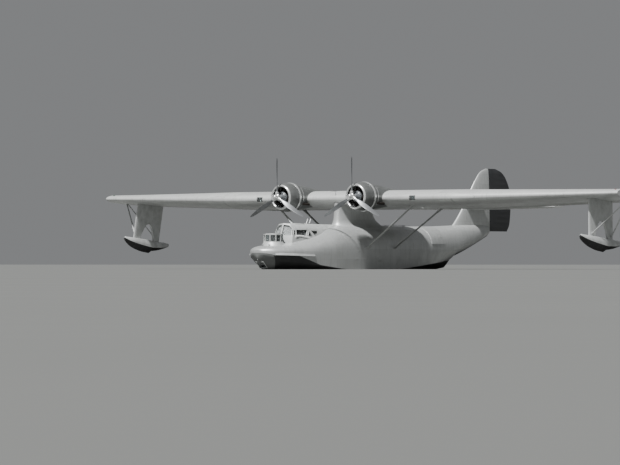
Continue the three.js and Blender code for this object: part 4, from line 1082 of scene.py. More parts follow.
# Fin and rudder
TAIL_BLADE = np.array([
    # height, leading and trailing edge from nose, thickness share
    [2.480, 14.550, 19.480, 0.085],
    [2.930, 15.130, 19.760, 0.080],
    [3.700, 15.850, 19.850, 0.075],
    [4.500, 16.460, 19.780, 0.070],
    [5.150, 16.980, 19.450, 0.070],
    [5.480, 17.350, 19.030, 0.070],
    [5.620, 17.760, 18.550, 0.070],
])
RUDDER_HINGE = 17.950
RUDDER_FOOT = 2.560
RUDDER_HINGES = (3.050, 4.350, 5.150)
BLADE_RIB_PITCH, PLANE_RIB_PITCH = 0.26, 0.31
EDGE = 0.0015  # half the trailing edge's thickness, as a share of the chord
CAMBER = 0.025
FABRIC_SAG = 0.006
FOIL_STATIONS = (1 - np.cos(np.linspace(0, math.pi, 30))) / 2


def half_thick(thickness, t):
    """Half thickness of a round-nosed section at a share of its chord."""
    t = np.asarray(t, float)
    shape = 0.2969 * np.sqrt(t) - 0.126 * t - 0.3516 * t**2 + 0.2843 * t**3 - 0.1036 * t**4
    return 5 * thickness * shape + EDGE


def camber_line(t, camber=CAMBER):
    t = np.asarray(t, float)
    fore = camber / 0.16 * (0.8 * t - t * t)
    return np.where(t < 0.4, fore, camber / 0.36 * (0.2 + 0.8 * t - t * t))


def foil(thickness, camber, sag, sag_from):
    """[share of chord, height share] round the section, from the trailing edge over the top.

    sag draws the fabric in behind the spar, as a share of the chord."""
    t = FOIL_STATIONS[1:]
    drawn = sag * np.clip((t - sag_from) / 0.05, 0, 1) * np.clip((1 - t) / 0.08, 0, 1)
    half = half_thick(thickness, t) - drawn
    mean = camber_line(t, camber)
    return np.vstack([np.column_stack([t, mean + half])[::-1], [[0, 0]], np.column_stack([t, mean - half])])


def rib_stations(start, end, pitch):
    """Places along a fabric surface, and how far the fabric sags at each between its ribs."""
    bays = max(1, round((end - start) / pitch))
    at = np.linspace(start, end, 4 * bays + 1)
    return at, np.sin(np.linspace(0, bays * math.pi, 4 * bays + 1)) ** 2


def circle(centre, radius, square_to, corners=40):
    x, y, z = centre
    if square_to == "x":
        return [(x, y + radius * math.cos(t), z + radius * math.sin(t)) for t in turns(corners)]
    return [(x + radius * math.cos(t), y + radius * math.sin(t), z) for t in turns(corners)]


def blade_row(height):
    return through_table(TAIL_BLADE, [height])[0]


def tail_ring(row, sag=0.0):
    height, leading, trailing, thickness = row
    chord = trailing - leading
    section = foil(thickness, 0, sag / chord, 0.7)
    return [(h * chord, aft(leading) + t * chord, up(height)) for t, h in section]


def rudder_nose(grow):
    rings = []
    for height in np.linspace(TAIL_BLADE[0, 0], TAIL_BLADE[-1, 0], 24):
        _, leading, trailing, thickness = blade_row(height)
        chord = trailing - leading
        radius = float(half_thick(thickness, (RUDDER_HINGE - leading) / chord)) * chord
        rings.append(circle((0, aft(RUDDER_HINGE), up(height)), radius + grow, "z"))
    low = [(x, y, up(1.0)) for x, y, _ in rings[0]]
    high = [(x, y, up(6.0)) for x, y, _ in rings[-1]]
    return skin([low, *rings, high])


HINGE_PLATE = {"half_thick": 0.015, "half": 0.030, "reach": 0.260, "behind": 0.045}


def along_hinge(piece, centre, direction):
    turn = Vector((1, 0, 0)).rotation_difference(Vector(direction)).to_matrix().to_4x4()
    return moved(piece, Matrix.Translation(centre) @ turn)


def hinge_plate(centre, direction):
    sides, half = (-HINGE_PLATE["half_thick"], HINGE_PLATE["half_thick"]), HINGE_PLATE["half"]
    web = block(sides, (-HINGE_PLATE["reach"], 0), (-half, half))
    eye = skin([circle((x, 0, 0), half, "x", 24) for x in sides])
    return along_hinge(fuse(web, eye), centre, direction)


def hinge_notch(centre, direction):
    side = HINGE_PLATE["half_thick"] + SEAM
    return along_hinge(block((-side, side), (-0.4, HINGE_PLATE["behind"]), (-0.4, 0.4)), centre, direction)


TAILPLANE_HEIGHT = 3.720
PLANE_LINES = np.array([
    # half span, leading and trailing edge from nose, thickness share
    [0.020, 16.000, 18.480, 0.100],
    [3.600, 16.380, 18.420, 0.090],
    [4.350, 16.620, 18.230, 0.085],
    [4.650, 16.960, 17.900, 0.080],
])
PLANE_HALF_SPAN = PLANE_LINES[-1, 0]
ELEVATOR_HINGE = 17.330
ELEVATOR_HINGES = (0.900, 3.300)


def plane_row(x):
    return through_table(PLANE_LINES, [max(abs(x), PLANE_LINES[0, 0])])[0][1:]


def plane_ring(x, sag=0.0):
    leading, trailing, thickness = plane_row(x)
    chord = trailing - leading
    section = foil(thickness, 0, sag / chord, 0.62)
    return [(x, aft(leading) + t * chord, up(TAILPLANE_HEIGHT) + h * chord) for t, h in section]


def plane_solid(sag):
    at, between = rib_stations(-PLANE_HALF_SPAN, PLANE_HALF_SPAN, PLANE_RIB_PITCH)
    return skin([plane_ring(x, sag * share) for x, share in zip(at, between)])


def elevator_nose(grow):
    rings = []
    for x in np.linspace(PLANE_LINES[0, 0], PLANE_HALF_SPAN, 20):
        leading, trailing, thickness = plane_row(x)
        chord = trailing - leading
        radius = float(half_thick(thickness, (ELEVATOR_HINGE - leading) / chord)) * chord + grow
        rings.append(circle((x, aft(ELEVATOR_HINGE), up(TAILPLANE_HEIGHT)), radius, "x"))
    rings.append([(PLANE_HALF_SPAN + 0.05, y, z) for _, y, z in rings[-1]])
    return skin(rings)


def build_fin():
    hinges = [in_frame((0, RUDDER_HINGE, h)) for h in RUDDER_HINGES]
    at, between = rib_stations(TAIL_BLADE[0, 0], TAIL_BLADE[-1, 0], BLADE_RIB_PITCH)
    blade = skin([tail_ring(blade_row(h), FABRIC_SAG * s) for h, s in zip(at, between)])
    aft_of_post = ship_block(s=(RUDDER_HINGE, FAR))

    rudder = keep(copied(blade), fuse(copied(aft_of_post), rudder_nose(0)), ship_block(h=(RUDDER_FOOT, FAR)))
    cut(rudder, *[hinge_notch(c, (0, 0, 1)) for c in hinges])
    place(rudder, "rudder_fabric", DARK_LINEN, "rudder", "rudder")

    fin = cut(blade, aft_of_post, rudder_nose(RUNNING_GAP))
    fin = together([fin, *[hinge_plate(c, (0, 0, 1)) for c in hinges]])
    place(fin, "fin_skin", HULL_LACQUER, "fin")

    tail = cut(hull_solid(WAIST_REAR_BULKHEAD, HULL_END), rudder_nose(RUNNING_GAP))
    place_hull(tail, "tail_shell", "hull_tail")


RUDDER_ROOM = [
    # half width, from nose
    [0.190, 17.100],
    [0.440, 18.600],
]


def build_tailplane():
    athwart = (1, 0, 0)
    hinges = [in_frame((x, ELEVATOR_HINGE, TAILPLANE_HEIGHT)) for x in ELEVATOR_HINGES]
    whole = plane_solid(FABRIC_SAG)
    behind = ship_block(s=(ELEVATOR_HINGE, FAR))
    cove = elevator_nose(RUNNING_GAP)
    stabiliser = cut(copied(whole), behind, cove, on_side(cove, -1))
    plates = [hinge_plate((side * x, y, z), athwart) for side in (1, -1) for x, y, z in hinges]
    place(together([stabiliser, *plates]), "tailplane_skin", WING_LACQUER, "tailplane")

    corners = [(x, s, z) for half, s in RUDDER_ROOM for x in (-0.01, half) for z in (3.0, 4.5)]
    swing = convex([in_frame(p) for p in corners])
    flap = keep(whole, fuse(behind, elevator_nose(0)), ship_block(x=(0, FAR)))
    cut(flap, swing, *[hinge_notch(c, athwart) for c in hinges])
    place_pair(largest(flap), "elevator_fabric", DOPED_LINEN, "elevator", "elevator")


# Wing
INCIDENCE = math.radians(6)
WING_LINES = np.array([
    # half span, leading edge from nose, its height, chord, thickness share
    [0, 5.750, 4.030, 4.570, 0.165],
    [6.700, 5.750, 4.030, 4.570, 0.165],
    [15.080, 6.900, 4.150, 3.100, 0.120],
])
WING_JOIN, WING_TIP = 6.700, 15.080
SPAR_SHARE = 0.60  # the skin is metal ahead of the rear spar and linen behind it
WING_RIB_PITCH = 0.33


def wing_row(x):
    return [np.interp(abs(x), WING_LINES[:, 0], column) for column in WING_LINES[:, 1:].T]


def wing_point(x, t, h):
    """A point of the wing at a half span, a share of the chord and a height share above it."""
    leading, height, chord, _ = wing_row(x)
    along, over = math.cos(INCIDENCE), math.sin(INCIDENCE)
    return (x, aft(leading) + chord * (t * along + h * over), up(height) + chord * (h * along - t * over))


def wing_skin_point(x, share, way):
    """A point on the wing's top at a share of its chord, or under it if the way is -1."""
    return wing_point(x, share, float(camber_line(share) + way * half_thick(wing_row(x)[3], share)))


def wing_ring(x, sag=0.0):
    _, _, chord, thickness = wing_row(x)
    return [wing_point(x, t, h) for t, h in foil(thickness, CAMBER, sag / chord, SPAR_SHARE)]


def chord_point(x, from_nose):
    leading, _, chord, _ = wing_row(x)
    return wing_point(x, (from_nose - leading) / (chord * math.cos(INCIDENCE)), 0)


LAST_STATION = len(FOIL_STATIONS) - 1
FOIL_COLUMNS = [int(abs(LAST_STATION - column - 0.5)) for column in range(2 * LAST_STATION + 1)]
LINEN_COLUMNS = [int(FOIL_STATIONS[station] >= SPAR_SHARE) for station in FOIL_COLUMNS]


def wing_solid(start, end, sag=FABRIC_SAG):
    at, between = rib_stations(start, end, WING_RIB_PITCH)
    return skin([wing_ring(x, sag * share) for x, share in zip(at, between)], LINEN_COLUMNS)


AILERON = {"span": (7.300, 14.300), "hinge": 9.330, "end_gap": 0.020, "hinges": (7.900, 10.800, 13.700)}


def aileron_axis(x):
    """The hinge line's point at a half span, and the radius of the aileron's nose there."""
    leading, _, chord, thickness = wing_row(x)
    t = (AILERON["hinge"] - leading) / (chord * math.cos(INCIDENCE))
    return Vector(wing_point(x, t, float(camber_line(t)))), float(half_thick(thickness, t)) * chord


AILERON_ENDS = [aileron_axis(x) for x in AILERON["span"]]
AILERON_LINE = (AILERON_ENDS[1][0] - AILERON_ENDS[0][0]).normalized()


def aileron_nose(grow):
    return skin([circle(centre, radius + grow, "x", 48) for centre, radius in AILERON_ENDS])


def behind_aileron_hinge(span):
    corners = []
    for (centre, _), x in zip(AILERON_ENDS, span):
        corners += [(x, y, z) for y in (centre.y, 4.0) for z in (-3.0, 9.0)]
    return convex(corners)


FLOAT_OUT = 13.300
LEG = {"from_nose": (7.250, 9.150), "length": 1.850, "thick": 0.110, "lean": math.radians(4.5)}
RECESS = {"from_nose": (7.180, 9.230), "inboard": 13.180, "depth": 0.095}
_, HINGE_Y, LEG_TOP = chord_point(FLOAT_OUT, 8.200)


def turned_about(piece, centre, angle, axis):
    back = Matrix.Translation(-Vector(centre))
    return moved(piece, back.inverted() @ Matrix.Rotation(angle, 4, axis) @ back)


def tilted(piece):
    """Sets a piece of the float gear square to the wing's chord."""
    return turned_about(piece, (0, HINGE_Y, LEG_TOP), -INCIDENCE, "X")


def tip_recess():
    z = (LEG_TOP - 0.6, LEG_TOP - RECESS["depth"])
    return tilted(block((RECESS["inboard"], FAR), [aft(s) for s in RECESS["from_nose"]], z))


LAMP = {"out": 4.500, "level": 4.015, "half_width": 0.170, "half_height": 0.105, "back": 5.915}
WING_PADS = [
    # half span, from nose, half size, lower and upper height: the hoisting pads and the store pads
    [0.950, 7.350, 0.090, 4.100, 4.400],
    [3.900, 7.500, 0.080, 3.540, 3.800],
]


def lamp_well(inset=0.0, shallower=0.0):
    """The lamp's well in the leading edge, or the room in it for the lamp's cover."""
    out, level, half_width, half_height, back = LAMP.values()
    half_width, half_height = half_width - inset, half_height - inset
    x, h = (out - half_width, out + half_width), (level - half_height, level + half_height)
    return ship_block(x, (5.5, back - shallower), h)


def build_wing():
    paints = [WING_LACQUER, DOPED_LINEN, CRACKLE]
    centre = wing_solid(-WING_JOIN + SEAM / 2, WING_JOIN - SEAM / 2)
    well = marked(lamp_well(), 2)
    parts = [cut(centre, well, on_side(well, -1))]
    for out, s, half, low, high in WING_PADS:
        pad = ship_block((out - half, out + half), (s - half, s + half), (low, high))
        parts.append(with_mirror(rounded_edges(pad, 0.008)))
    place(together(parts), "wing_centre_skin", paints, "wing_centre")

    outer = wing_solid(WING_JOIN + SEAM / 2, WING_TIP)
    centres = [aileron_axis(x)[0] for x in AILERON["hinges"]]
    fixed = cut(copied(outer), behind_aileron_hinge(AILERON["span"]), aileron_nose(RUNNING_GAP), tip_recess())
    fixed = together([largest(fixed), *[hinge_plate(c, AILERON_LINE) for c in centres]])
    place_pair(fixed, "wing_outer_skin", paints, "wing_outer")

    inner, outboard = AILERON["span"]
    span = (inner + AILERON["end_gap"], outboard - AILERON["end_gap"])
    aileron = keep(outer, fuse(behind_aileron_hinge(span), keep(aileron_nose(0), block(span))))
    cut(aileron, *[hinge_notch(c, AILERON_LINE) for c in centres])
    place_pair(aileron, "aileron_fabric", DOPED_LINEN, "aileron", "aileron")


# Tip floats, on flat legs with an arch cut in them
FLOAT = {"from_nose": 6.600, "length": 3.300}
FLOAT_LINES = np.array([
    # share of length, keel drop, chine half, chine drop, deck half
    [0, 0.070, 0.045, 0.040, 0.030],
    [0.03, 0.230, 0.130, 0.110, 0.090],
    [0.1, 0.380, 0.235, 0.190, 0.170],
    [0.25, 0.520, 0.310, 0.270, 0.240],
    [0.42, 0.590, 0.335, 0.320, 0.260],
    [0.56, 0.600, 0.335, 0.345, 0.250],
    [0.565, 0.510, 0.330, 0.330, 0.250],
    [0.75, 0.400, 0.255, 0.275, 0.190],
    [0.9, 0.260, 0.140, 0.190, 0.110],
    [1, 0.140, 0.030, 0.110, 0.025],
])
FLOAT_STEP = 6
FLOAT_AXIS = FLOAT_OUT + LEG["length"] * math.sin(LEG["lean"])
FLOAT_DECK = LEG_TOP - LEG["length"]


def float_rows():
    fore, after = FLOAT_LINES[:FLOAT_STEP], FLOAT_LINES[FLOAT_STEP:]
    roots = np.linspace(0, math.sqrt(fore[-1, 0]), 22)
    return [*through_roots(fore, roots), *through_table(after, np.linspace(after[0, 0], 1, 14))]


def float_body():
    rings = []
    for share, keel, chine_half, chine, deck_half in float_rows():
        half = [(0, -keel), (chine_half * 0.5, lerp(-keel, -chine, 0.44)), (chine_half, -chine)]
        half += [(chine_half * 0.985, -chine * 0.75), (chine_half * 0.96, -chine * 0.5)]
        half += [(lerp(chine_half * 0.96, deck_half, 0.75), -chine * 0.2), (deck_half, -0.015)]
        half += [(deck_half * 0.8, 0.008), (deck_half * 0.45, 0.018), (0, 0.021)]
        ring = [*half, *[(-x, z) for x, z in half[-2:0:-1]]]
        y = aft(FLOAT["from_nose"] + share * FLOAT["length"])
        rings.append([(FLOAT_AXIS + x, y, FLOAT_DECK + z) for x, z in ring])
    around = len(rings[0])
    return tilted(skin(rings, [int(min(i, around - 1 - i) < 2) for i in range(around)]))


LEG_ARCH = [
    # aft of the leg's front edge, above the float's deck
    [0.380, -0.090], [0.520, 0.330], [0.680, 0.640], [0.860, 0.800], [1.040, 0.800], [1.220, 0.640],
    [1.370, 0.330], [1.500, -0.090],
]


def float_leg():
    """A flat streamlined plate with an arch cut in its lower half."""
    front, back = LEG["from_nose"]
    half = LEG["thick"] / 2
    quarter = np.linspace(0, math.pi / 2, 6)
    side = [(half * math.sin(t), front - 0.03 + 0.18 * (1 - math.cos(t))) for t in quarter]
    side += [(half, back - 0.35), (half * 0.72, back - 0.2), (0.006, back)]
    outline = [*side, *[(-x, s) for x, s in side[::-1] if x > 0]]
    levels = np.linspace(FLOAT_DECK - 0.11, LEG_TOP + 0.15, 12)
    plate = skin([[(FLOAT_OUT + x, aft(s), z) for x, s in outline] for z in levels])
    arch = rounded_path([(0, aft(front) + y, FLOAT_DECK + z) for y, z in LEG_ARCH], 0.14, 5)
    tool = skin([[(FLOAT_OUT + x, p.y, p.z) for p in arch] for x in (-0.3, 0.3)])
    return tilted(turned_about(cut(plate, tool), (FLOAT_OUT, 0, LEG_TOP), -LEG["lean"], "Y"))


BRACE = {"head": (14.930, 8.250), "feet": (7.420, 8.960), "foot_out": 0.030, "foot_up": 0.120}


def float_brace():
    """A V-brace from the wing's tip down to the feet of the leg."""
    x, y, z = chord_point(*BRACE["head"])
    foot_x, foot_z = FLOAT_AXIS + BRACE["foot_out"], FLOAT_DECK + BRACE["foot_up"]
    arms = [strut((foot_x, aft(s), foot_z), (x, y, z + 0.01), 0.090, 0.048) for s in BRACE["feet"]]
    return tilted(together(arms))


def build_floats():
    leg = cut(float_leg(), cut(wing_solid(12.6, WING_TIP + 0.2, 0), tip_recess()))
    # The float is near black below its chine, in the hull's bottom finish
    place_pair(float_body(), "tip_float", [TRIM_LACQUER, BOTTOM_PAINT], "float")
    place_pair(largest(leg), "float_post", TRIM_LACQUER, "float_leg")
    place_pair(float_brace(), "float_v", TRIM_LACQUER, "float_brace")


# Pylon and wing struts
PYLON_LEVELS = np.array([
    # height, front and back from nose, half width
    [2.300, 5.300, 10.100, 1.300],
    [2.500, 5.450, 9.850, 1.050],
    [2.700, 5.640, 9.400, 0.680],
    [2.850, 5.740, 9.100, 0.480],
    [3.050, 5.790, 8.800, 0.390],
    [3.400, 5.830, 8.560, 0.350],
    [3.950, 5.860, 8.480, 0.370],
])
STRUTS = {
    # foot's half width, from nose and height, then the head's half span and from nose
    "front": ((1.500, 6.250, 1.680), (4.330, 6.550)),
    "rear": ((1.500, 8.350, 1.680), (4.330, 8.650)),
}
STRUT_SIZE = (0.190, 0.075)  # chord and thickness
STRUT_CUFFS = [
    # the foot's cuff, then the head's: share of the strut's length, how far it swells
    [0.085, 1.7],
    [0.200, 2.2],
]


def pylon_ring(row):
    height, front, back, half = row
    ring = []
    for turn in turns(56):
        t = (1 - math.cos(turn)) / 2
        width = half * abs(math.sin(turn)) ** 0.85 * (1.15 - 0.35 * t)
        ring.append(in_frame((math.copysign(width, math.sin(turn)), lerp(front, back, t), height)))
    return ring


def build_pylon():
    levels = np.linspace(PYLON_LEVELS[0, 0], PYLON_LEVELS[-1, 0], 40)
    pylon = skin([pylon_ring(row) for row in through_table(PYLON_LEVELS, levels)])
    place(pylon, "pylon_skin", HULL_LACQUER, "pylon")
    for row, (foot, head) in STRUTS.items():
        ends = [Vector(in_frame(foot)), Vector(chord_point(*head))]
        bar = strut(*ends, *STRUT_SIZE)
        place_pair(bar, f"wing_strut_{row}", TRIM_LACQUER, f"strut_{row}")
        cuffs = []
        for (share, swell), near, far in zip(STRUT_CUFFS, ends, ends[::-1]):
            cuffs.append(strut(near, near.lerp(far, share), *STRUT_SIZE, (swell, 1.04)))
        place_pair(together(cuffs), f"strut_cuffs_{row}", TRIM_LACQUER)


# Engines, cowlings, nacelles and propellers, all made for the port side
ENGINE_OUT = 2.200
THRUST_HEIGHT = 4.080
PROP_PLANE = 4.200
COWL_FRONT = 4.440
FIREWALL = COWL_FRONT + 0.620
CYLINDERS = 14
COWL_PROFILE = [
    # radius, aft of the cowl's front: the lip, the outer skin, then back up the inside
    [0.478, 0.070], [0.480, 0.045], [0.488, 0.025], [0.500, 0.012], [0.515, 0.004], [0.530, 0.003],
    [0.545, 0.008], [0.568, 0.028], [0.590, 0.060], [0.612, 0.106], [0.632, 0.160], [0.649, 0.235],
    [0.662, 0.320], [0.669, 0.420], [0.672, 0.520], [0.672, 0.640], [0.684, 0.644], [0.690, 0.654],
    [0.690, 0.726], [0.684, 0.736], [0.672, 0.740], [0.676, 0.900], [0.664, 0.900], [0.650, 0.600],
    [0.650, 0.260], [0.610, 0.180], [0.560, 0.130], [0.500, 0.092],
]
CASE_PROFILE = [
    # radius, aft of the cowl's front: the shaft, the gear case with its flange, then the crankcase
    [0, -0.110], [0.042, -0.110], [0.042, -0.040], [0.105, -0.034], [0.125, -0.010], [0.150, 0.060],
    [0.200, 0.110], [0.245, 0.145], [0.262, 0.150], [0.262, 0.175], [0.245, 0.180], [0.262, 0.230],
    [0.270, 0.235], [0.270, 0.520], [0.330, 0.560], [0.330, 0.619], [0, 0.619],
]
HUB_PROFILE = [
    # radius, aft of the blades' plane: the piston dome, the barrel, then the bore for the shaft
    [0, -0.250], [0.030, -0.249], [0.058, -0.243], [0.082, -0.228], [0.098, -0.203], [0.104, -0.170],
    [0.105, -0.120], [0.117, -0.116], [0.117, -0.086], [0.105, -0.080], [0.128, -0.074], [0.142, -0.060],
    [0.146, -0.030], [0.146, 0.040], [0.130, 0.066], [0.095, 0.080], [0.095, 0.190], [0.043, 0.190],
    [0.043, 0.110], [0, 0.110],
]
NACELLE_FRONT = [
    # radius, from nose
    [0, FIREWALL], [0.520, FIREWALL], [0.600, FIREWALL + 0.06], [0.612, 5.380], [0.626, 5.390],
    [0.626, 5.450], [0.605, 5.460],
]
NACELLE_TAPER = np.array([
    # from nose, radius
    [5.460, 0.605], [5.900, 0.570], [6.600, 0.480], [7.400, 0.360], [8.100, 0.200], [8.600, 0],
])
# Bands given the bright ring finish, partly a painted highlight along the rounded rings of cowls and nacelles
BRIGHT_AND_HIGHLIGHT_BANDS = {
    # from nose, and the least radius: the cowl's lip and its rear ring, and the ring of the nacelle
    "cowl": [(COWL_FRONT, COWL_FRONT + 0.062, 0), (COWL_FRONT + 0.640, COWL_FRONT + 0.742, 0.668)],
    "nacelle": [(5.378, 5.462, 0)],
}
BLADE_STATIONS = np.array([
    # radius, chord, thickness, pitch in degrees
    [0.060, 0.110, 0.110, 60],
    [0.320, 0.120, 0.100, 55],
    [0.600, 0.210, 0.060, 45],
    [1.000, 0.250, 0.040, 33],
    [1.400, 0.220, 0.028, 25],
    [1.700, 0.160, 0.018, 21],
    [1.829, 0.060, 0.010, 20],
])
BLADE_CUFF = [
    # radius along the blade, the cuff's own radius
    [0.080, 0.082], [0.170, 0.082], [0.175, 0.092], [0.215, 0.092], [0.220, 0.072], [0.260, 0.068],
]
EXHAUST_TURNS = (118, -118)  # degrees from straight up
EXHAUST_PATH = [(0.560, 5.345), (0.635, 5.450), (0.672, 5.600), (0.680, 5.850)]
EXHAUST_BORE = [(0.662, 5.660), (0.681, 5.870)]


def beside(piece, side):
    """A copy of a port engine's piece for the engine on a side. Both engines turn the same way."""
    return moved(copied(piece), Matrix.Translation(((side - 1) * ENGINE_OUT, 0, 0)))


def about_shaft(radius, turn, from_nose):
    """A point at a radius from the propeller's axis, and at an angle from straight up."""
    x, z = radius * math.sin(turn), radius * math.cos(turn)
    return Vector(in_frame((ENGINE_OUT + x, from_nose, THRUST_HEIGHT + z)))


def round_shaft(profile, start=0.0, segments=48, closed=False):
    """A solid of revolution about the propeller's axis. The profile is [radius, aft of the start]."""
    profile = [(r, aft(start + s)) for r, s in profile]
    return turned(profile, (ENGINE_OUT, up(THRUST_HEIGHT)), segments, closed)


def banded(piece, bands):
    """Gives the faces in some bands the second material."""
    for face in piece.data.polygons:
        x, y, z = face.center
        radius = math.hypot(x - ENGINE_OUT, z - up(THRUST_HEIGHT))
        if any(aft(low) <= y <= aft(high) and radius >= least for low, high, least in bands):
            face.material_index = 1
    return piece


def cylinder_point(number, radius, shift=0.0, ahead=0.0):
    """A point on a cylinder's axis, or beside or ahead of it. Every second one is in the rear row."""
    turn = 2 * math.pi * number / CYLINDERS
    row = COWL_FRONT + (0.490 if number % 2 else 0.335)
    return about_shaft(radius, turn, row - ahead) + shift * Vector((math.cos(turn), 0, -math.sin(turn)))


def cylinder_parts(number):
    """A barrel, a head with two rocker boxes, two pushrod tubes and a plug lead."""

    def out(*points):
        return [cylinder_point(number, *point) for point in points]

    barrel = [tube(out([0.25], [0.505]), 0.050, 14)]
    head = [tube(out([0.50], [0.56], [0.62], [0.642]), [0.056, 0.060, 0.054, 0.030], 12)]
    rods = [tube(out([0.275, 0, 0.12], [0.40, 0.012, 0.09], [0.52, 0.012, 0.062]), 0.006, 5)]
    for shift in (-0.045, 0.045):
        head.append(tube(out([0.55, shift, 0.02], [0.60, shift, 0.055]), 0.022, 8))
        rods.append(tube(out([0.255, shift * 0.6, 0.075], [0.565, shift, 0.058]), 0.009, 6))
    return barrel, head, rods


def build_engines():
    """A two-row radial: crankcase, gear case, finned barrels, heads, pushrod tubes and wiring ring."""
    case = round_shaft(CASE_PROFILE, COWL_FRONT)
    place_pair(case, "crankcase", CRANKCASE, "engine", None, beside)
    barrels, heads, rods = (sum(parts, []) for parts in zip(*map(cylinder_parts, range(CYLINDERS))))
    ring = [about_shaft(0.285, turn, COWL_FRONT + 0.212) for turn in turns(48)]
    rods.append(tube(ring, 0.014, closed=True))
    bolts = []
    for turn in turns(20):
        bolts.append(tube([about_shaft(0.252, turn, COWL_FRONT + s) for s in (0.138, 0.156)], 0.009, 6))
    for parts, name, finish, slot in (
        (bolts, "case_bolts", BARE_METAL, "bare_metal"),
        (barrels, "barrels", BARREL_ENAMEL, "engine_metal"),
        (heads, "cylinder_heads", CAST_HEADS, "engine_metal"),
        (rods, "pushrods", STEEL_TUBE, "engine_metal"),
    ):
        place_pair(together(parts), name, finish, across=beside)
    for part, ends, radius, finish in (
        ("barrel", (0.285, 0.490), 0.066, BARREL_ENAMEL),
        ("head", (0.508, 0.618), 0.070, CAST_HEADS),
    ):
        lines = [[(cylinder_point(number, r), (0, 0, 1)) for r in ends] for number in range(CYLINDERS)]
        fins = grown(FIN_TREE, lines, finish, Pitch=0.0115, Radius=radius)
        place_pair(fins, f"{part}_fins", finish, across=beside)


def build_propellers():
    """Three blades in a barrel hub, with a round piston dome in front."""
    tips = 1.829 - 0.129 * (1 - np.linspace(0.15, 1, 8)) ** 2
    rows = through_table(BLADE_STATIONS, np.concatenate([np.linspace(0.06, 1.7, 22), tips]))
    middle = about_shaft(0, 0, PROP_PLANE)
    blades, hub = [], [round_shaft(HUB_PROFILE, PROP_PLANE)]
    for angle in turns(3):
        turn = Matrix.Rotation(angle, 3, "Y")
        rings = []
        for radius, chord, thickness, pitch in rows:
            roundness = np.clip((0.45 - radius) / 0.2, 0, 1)  # 1 at the round root, 0 along the blade
            twist = Matrix.Rotation(math.radians(pitch - 90), 3, "Z")
            ring = []
            for a in turns(20):
                belly = 1 if math.sin(a) > 0 else lerp(0.35, 1, roundness)  # the driving face is flatter
                point = Vector((chord / 2 * math.cos(a), thickness / 2 * math.sin(a) * belly, radius))
                ring.append(turn @ (twist @ point) + middle)
            rings.append(ring)
        blades.append(skin(rings))
        axis = [turn @ Vector((0, 0, along)) + middle for along, _ in BLADE_CUFF]
        hub.append(tube(axis, [radius for _, radius in BLADE_CUFF], 20))
    place_pair(together(blades), "blades", BLADE_METAL, "propeller", "propeller", beside)
    place_pair(together(hub), "hub", BRIGHT_RING, None, "propeller", beside)


def exhaust(angle):
    """A bent stub that comes out of the nacelle's flank and ends in a slanting mouth."""
    turn = math.radians(angle)
    path = rounded_path([about_shaft(r, turn, s) for r, s in EXHAUST_PATH], 0.12, 4)
    return cut(tube(path, 0.060, 16), tube([about_shaft(r, turn, s) for r, s in EXHAUST_BORE], 0.052, 16))


def build_nacelles():
    paints = [COWL_LACQUER, BRIGHT_RING]
    cowl = banded(round_shaft(COWL_PROFILE, COWL_FRONT, 96, closed=True), BRIGHT_AND_HIGHLIGHT_BANDS["cowl"])
    place_pair(cowl, "cowl", paints, "cowling", None, beside, 40)
    taper = through_table(NACELLE_TAPER, np.linspace(NACELLE_TAPER[0, 0], NACELLE_TAPER[-1, 0], 30))
    profile = [*NACELLE_FRONT, *taper[1:, ::-1]]
    nacelle = banded(round_shaft(profile, segments=72), BRIGHT_AND_HIGHLIGHT_BANDS["nacelle"])
    place_pair(nacelle, "nacelle_skin", paints, "nacelle", None, beside, 40)
    pipes = [exhaust(angle) for angle in EXHAUST_TURNS]
    place_pair(together(pipes), "exhausts", STEEL_TUBE, across=beside)


# Canopy and turret
PANE_SPLIT = 2.050  # the windscreen's panes, hazed a pale grey, end here
GLASS_END = 3.700
TURRET_FOOT = [
    # radius past the drum's own, height
    [0.130, 1.750], [0.085, 1.820], [0.045, 1.900], [0.008, 1.975],
]


def build_canopy():
    outer = rounded_edges(canopy_layer(0), 0.035, 3)
    hull = hull_solid(0.9, 6.0, SEAM)
    body = cut(copied(outer), canopy_layer(CANOPY_WALL), hull)
    for name in CANOPY_PANES:
        tool = pane_tool(name)
        cut(body, tool, on_side(tool, -1))
    cut(body, *roof_hatch_tools())
    place(largest(body), "canopy_frame", TRIM_LACQUER, "cockpit_canopy")

    surface = surface_of(outer.name)
    beads = []
    for name in CANOPY_PANES:
        path = [spot_on(surface, point)[0] for point in pane_outline(name)]
        beads.append(tube(path, 0.011, 6, closed=True))
    place(with_mirror(together(beads)), "pane_beads", TRIM_LACQUER)

    inset = CANOPY_WALL + SEAM
    shell = cut(canopy_layer(inset), canopy_layer(inset + GLASS_THICK), hull, *roof_hatch_tools())
    front = keep(copied(shell), ship_block(s=(0, PANE_SPLIT - SEAM)))
    rear = keep(shell, ship_block(s=(PANE_SPLIT, GLASS_END)))
    place(largest(front), "windscreen_panes", HAZED_PANE)
    place(largest(rear), "side_panes", CLEAR_PANE, "canopy_glass")

    (start, end), (low, high), lip, thick = ROOF_HATCH.values()
    corners = []
    for x in (low - lip, high + lip):
        for s in (start - lip, end + lip):
            # The roof slopes to its sides and to the back, as the canopy's corners do
            roof = lerp(2.840, 2.800, x / 0.330) - 0.040 * (s - 1.900) / 3.550
            corners += [in_frame((x, s, roof + rise)) for rise in (-0.030, thick)]
    lid = cut(rounded_edges(convex(corners), 0.008), moved(outer, Matrix.Translation((0, 0, SEAM))))
    place_pair(largest(lid), "roof_lid", TRIM_LACQUER, "roof_hatch", "roof_hatch")


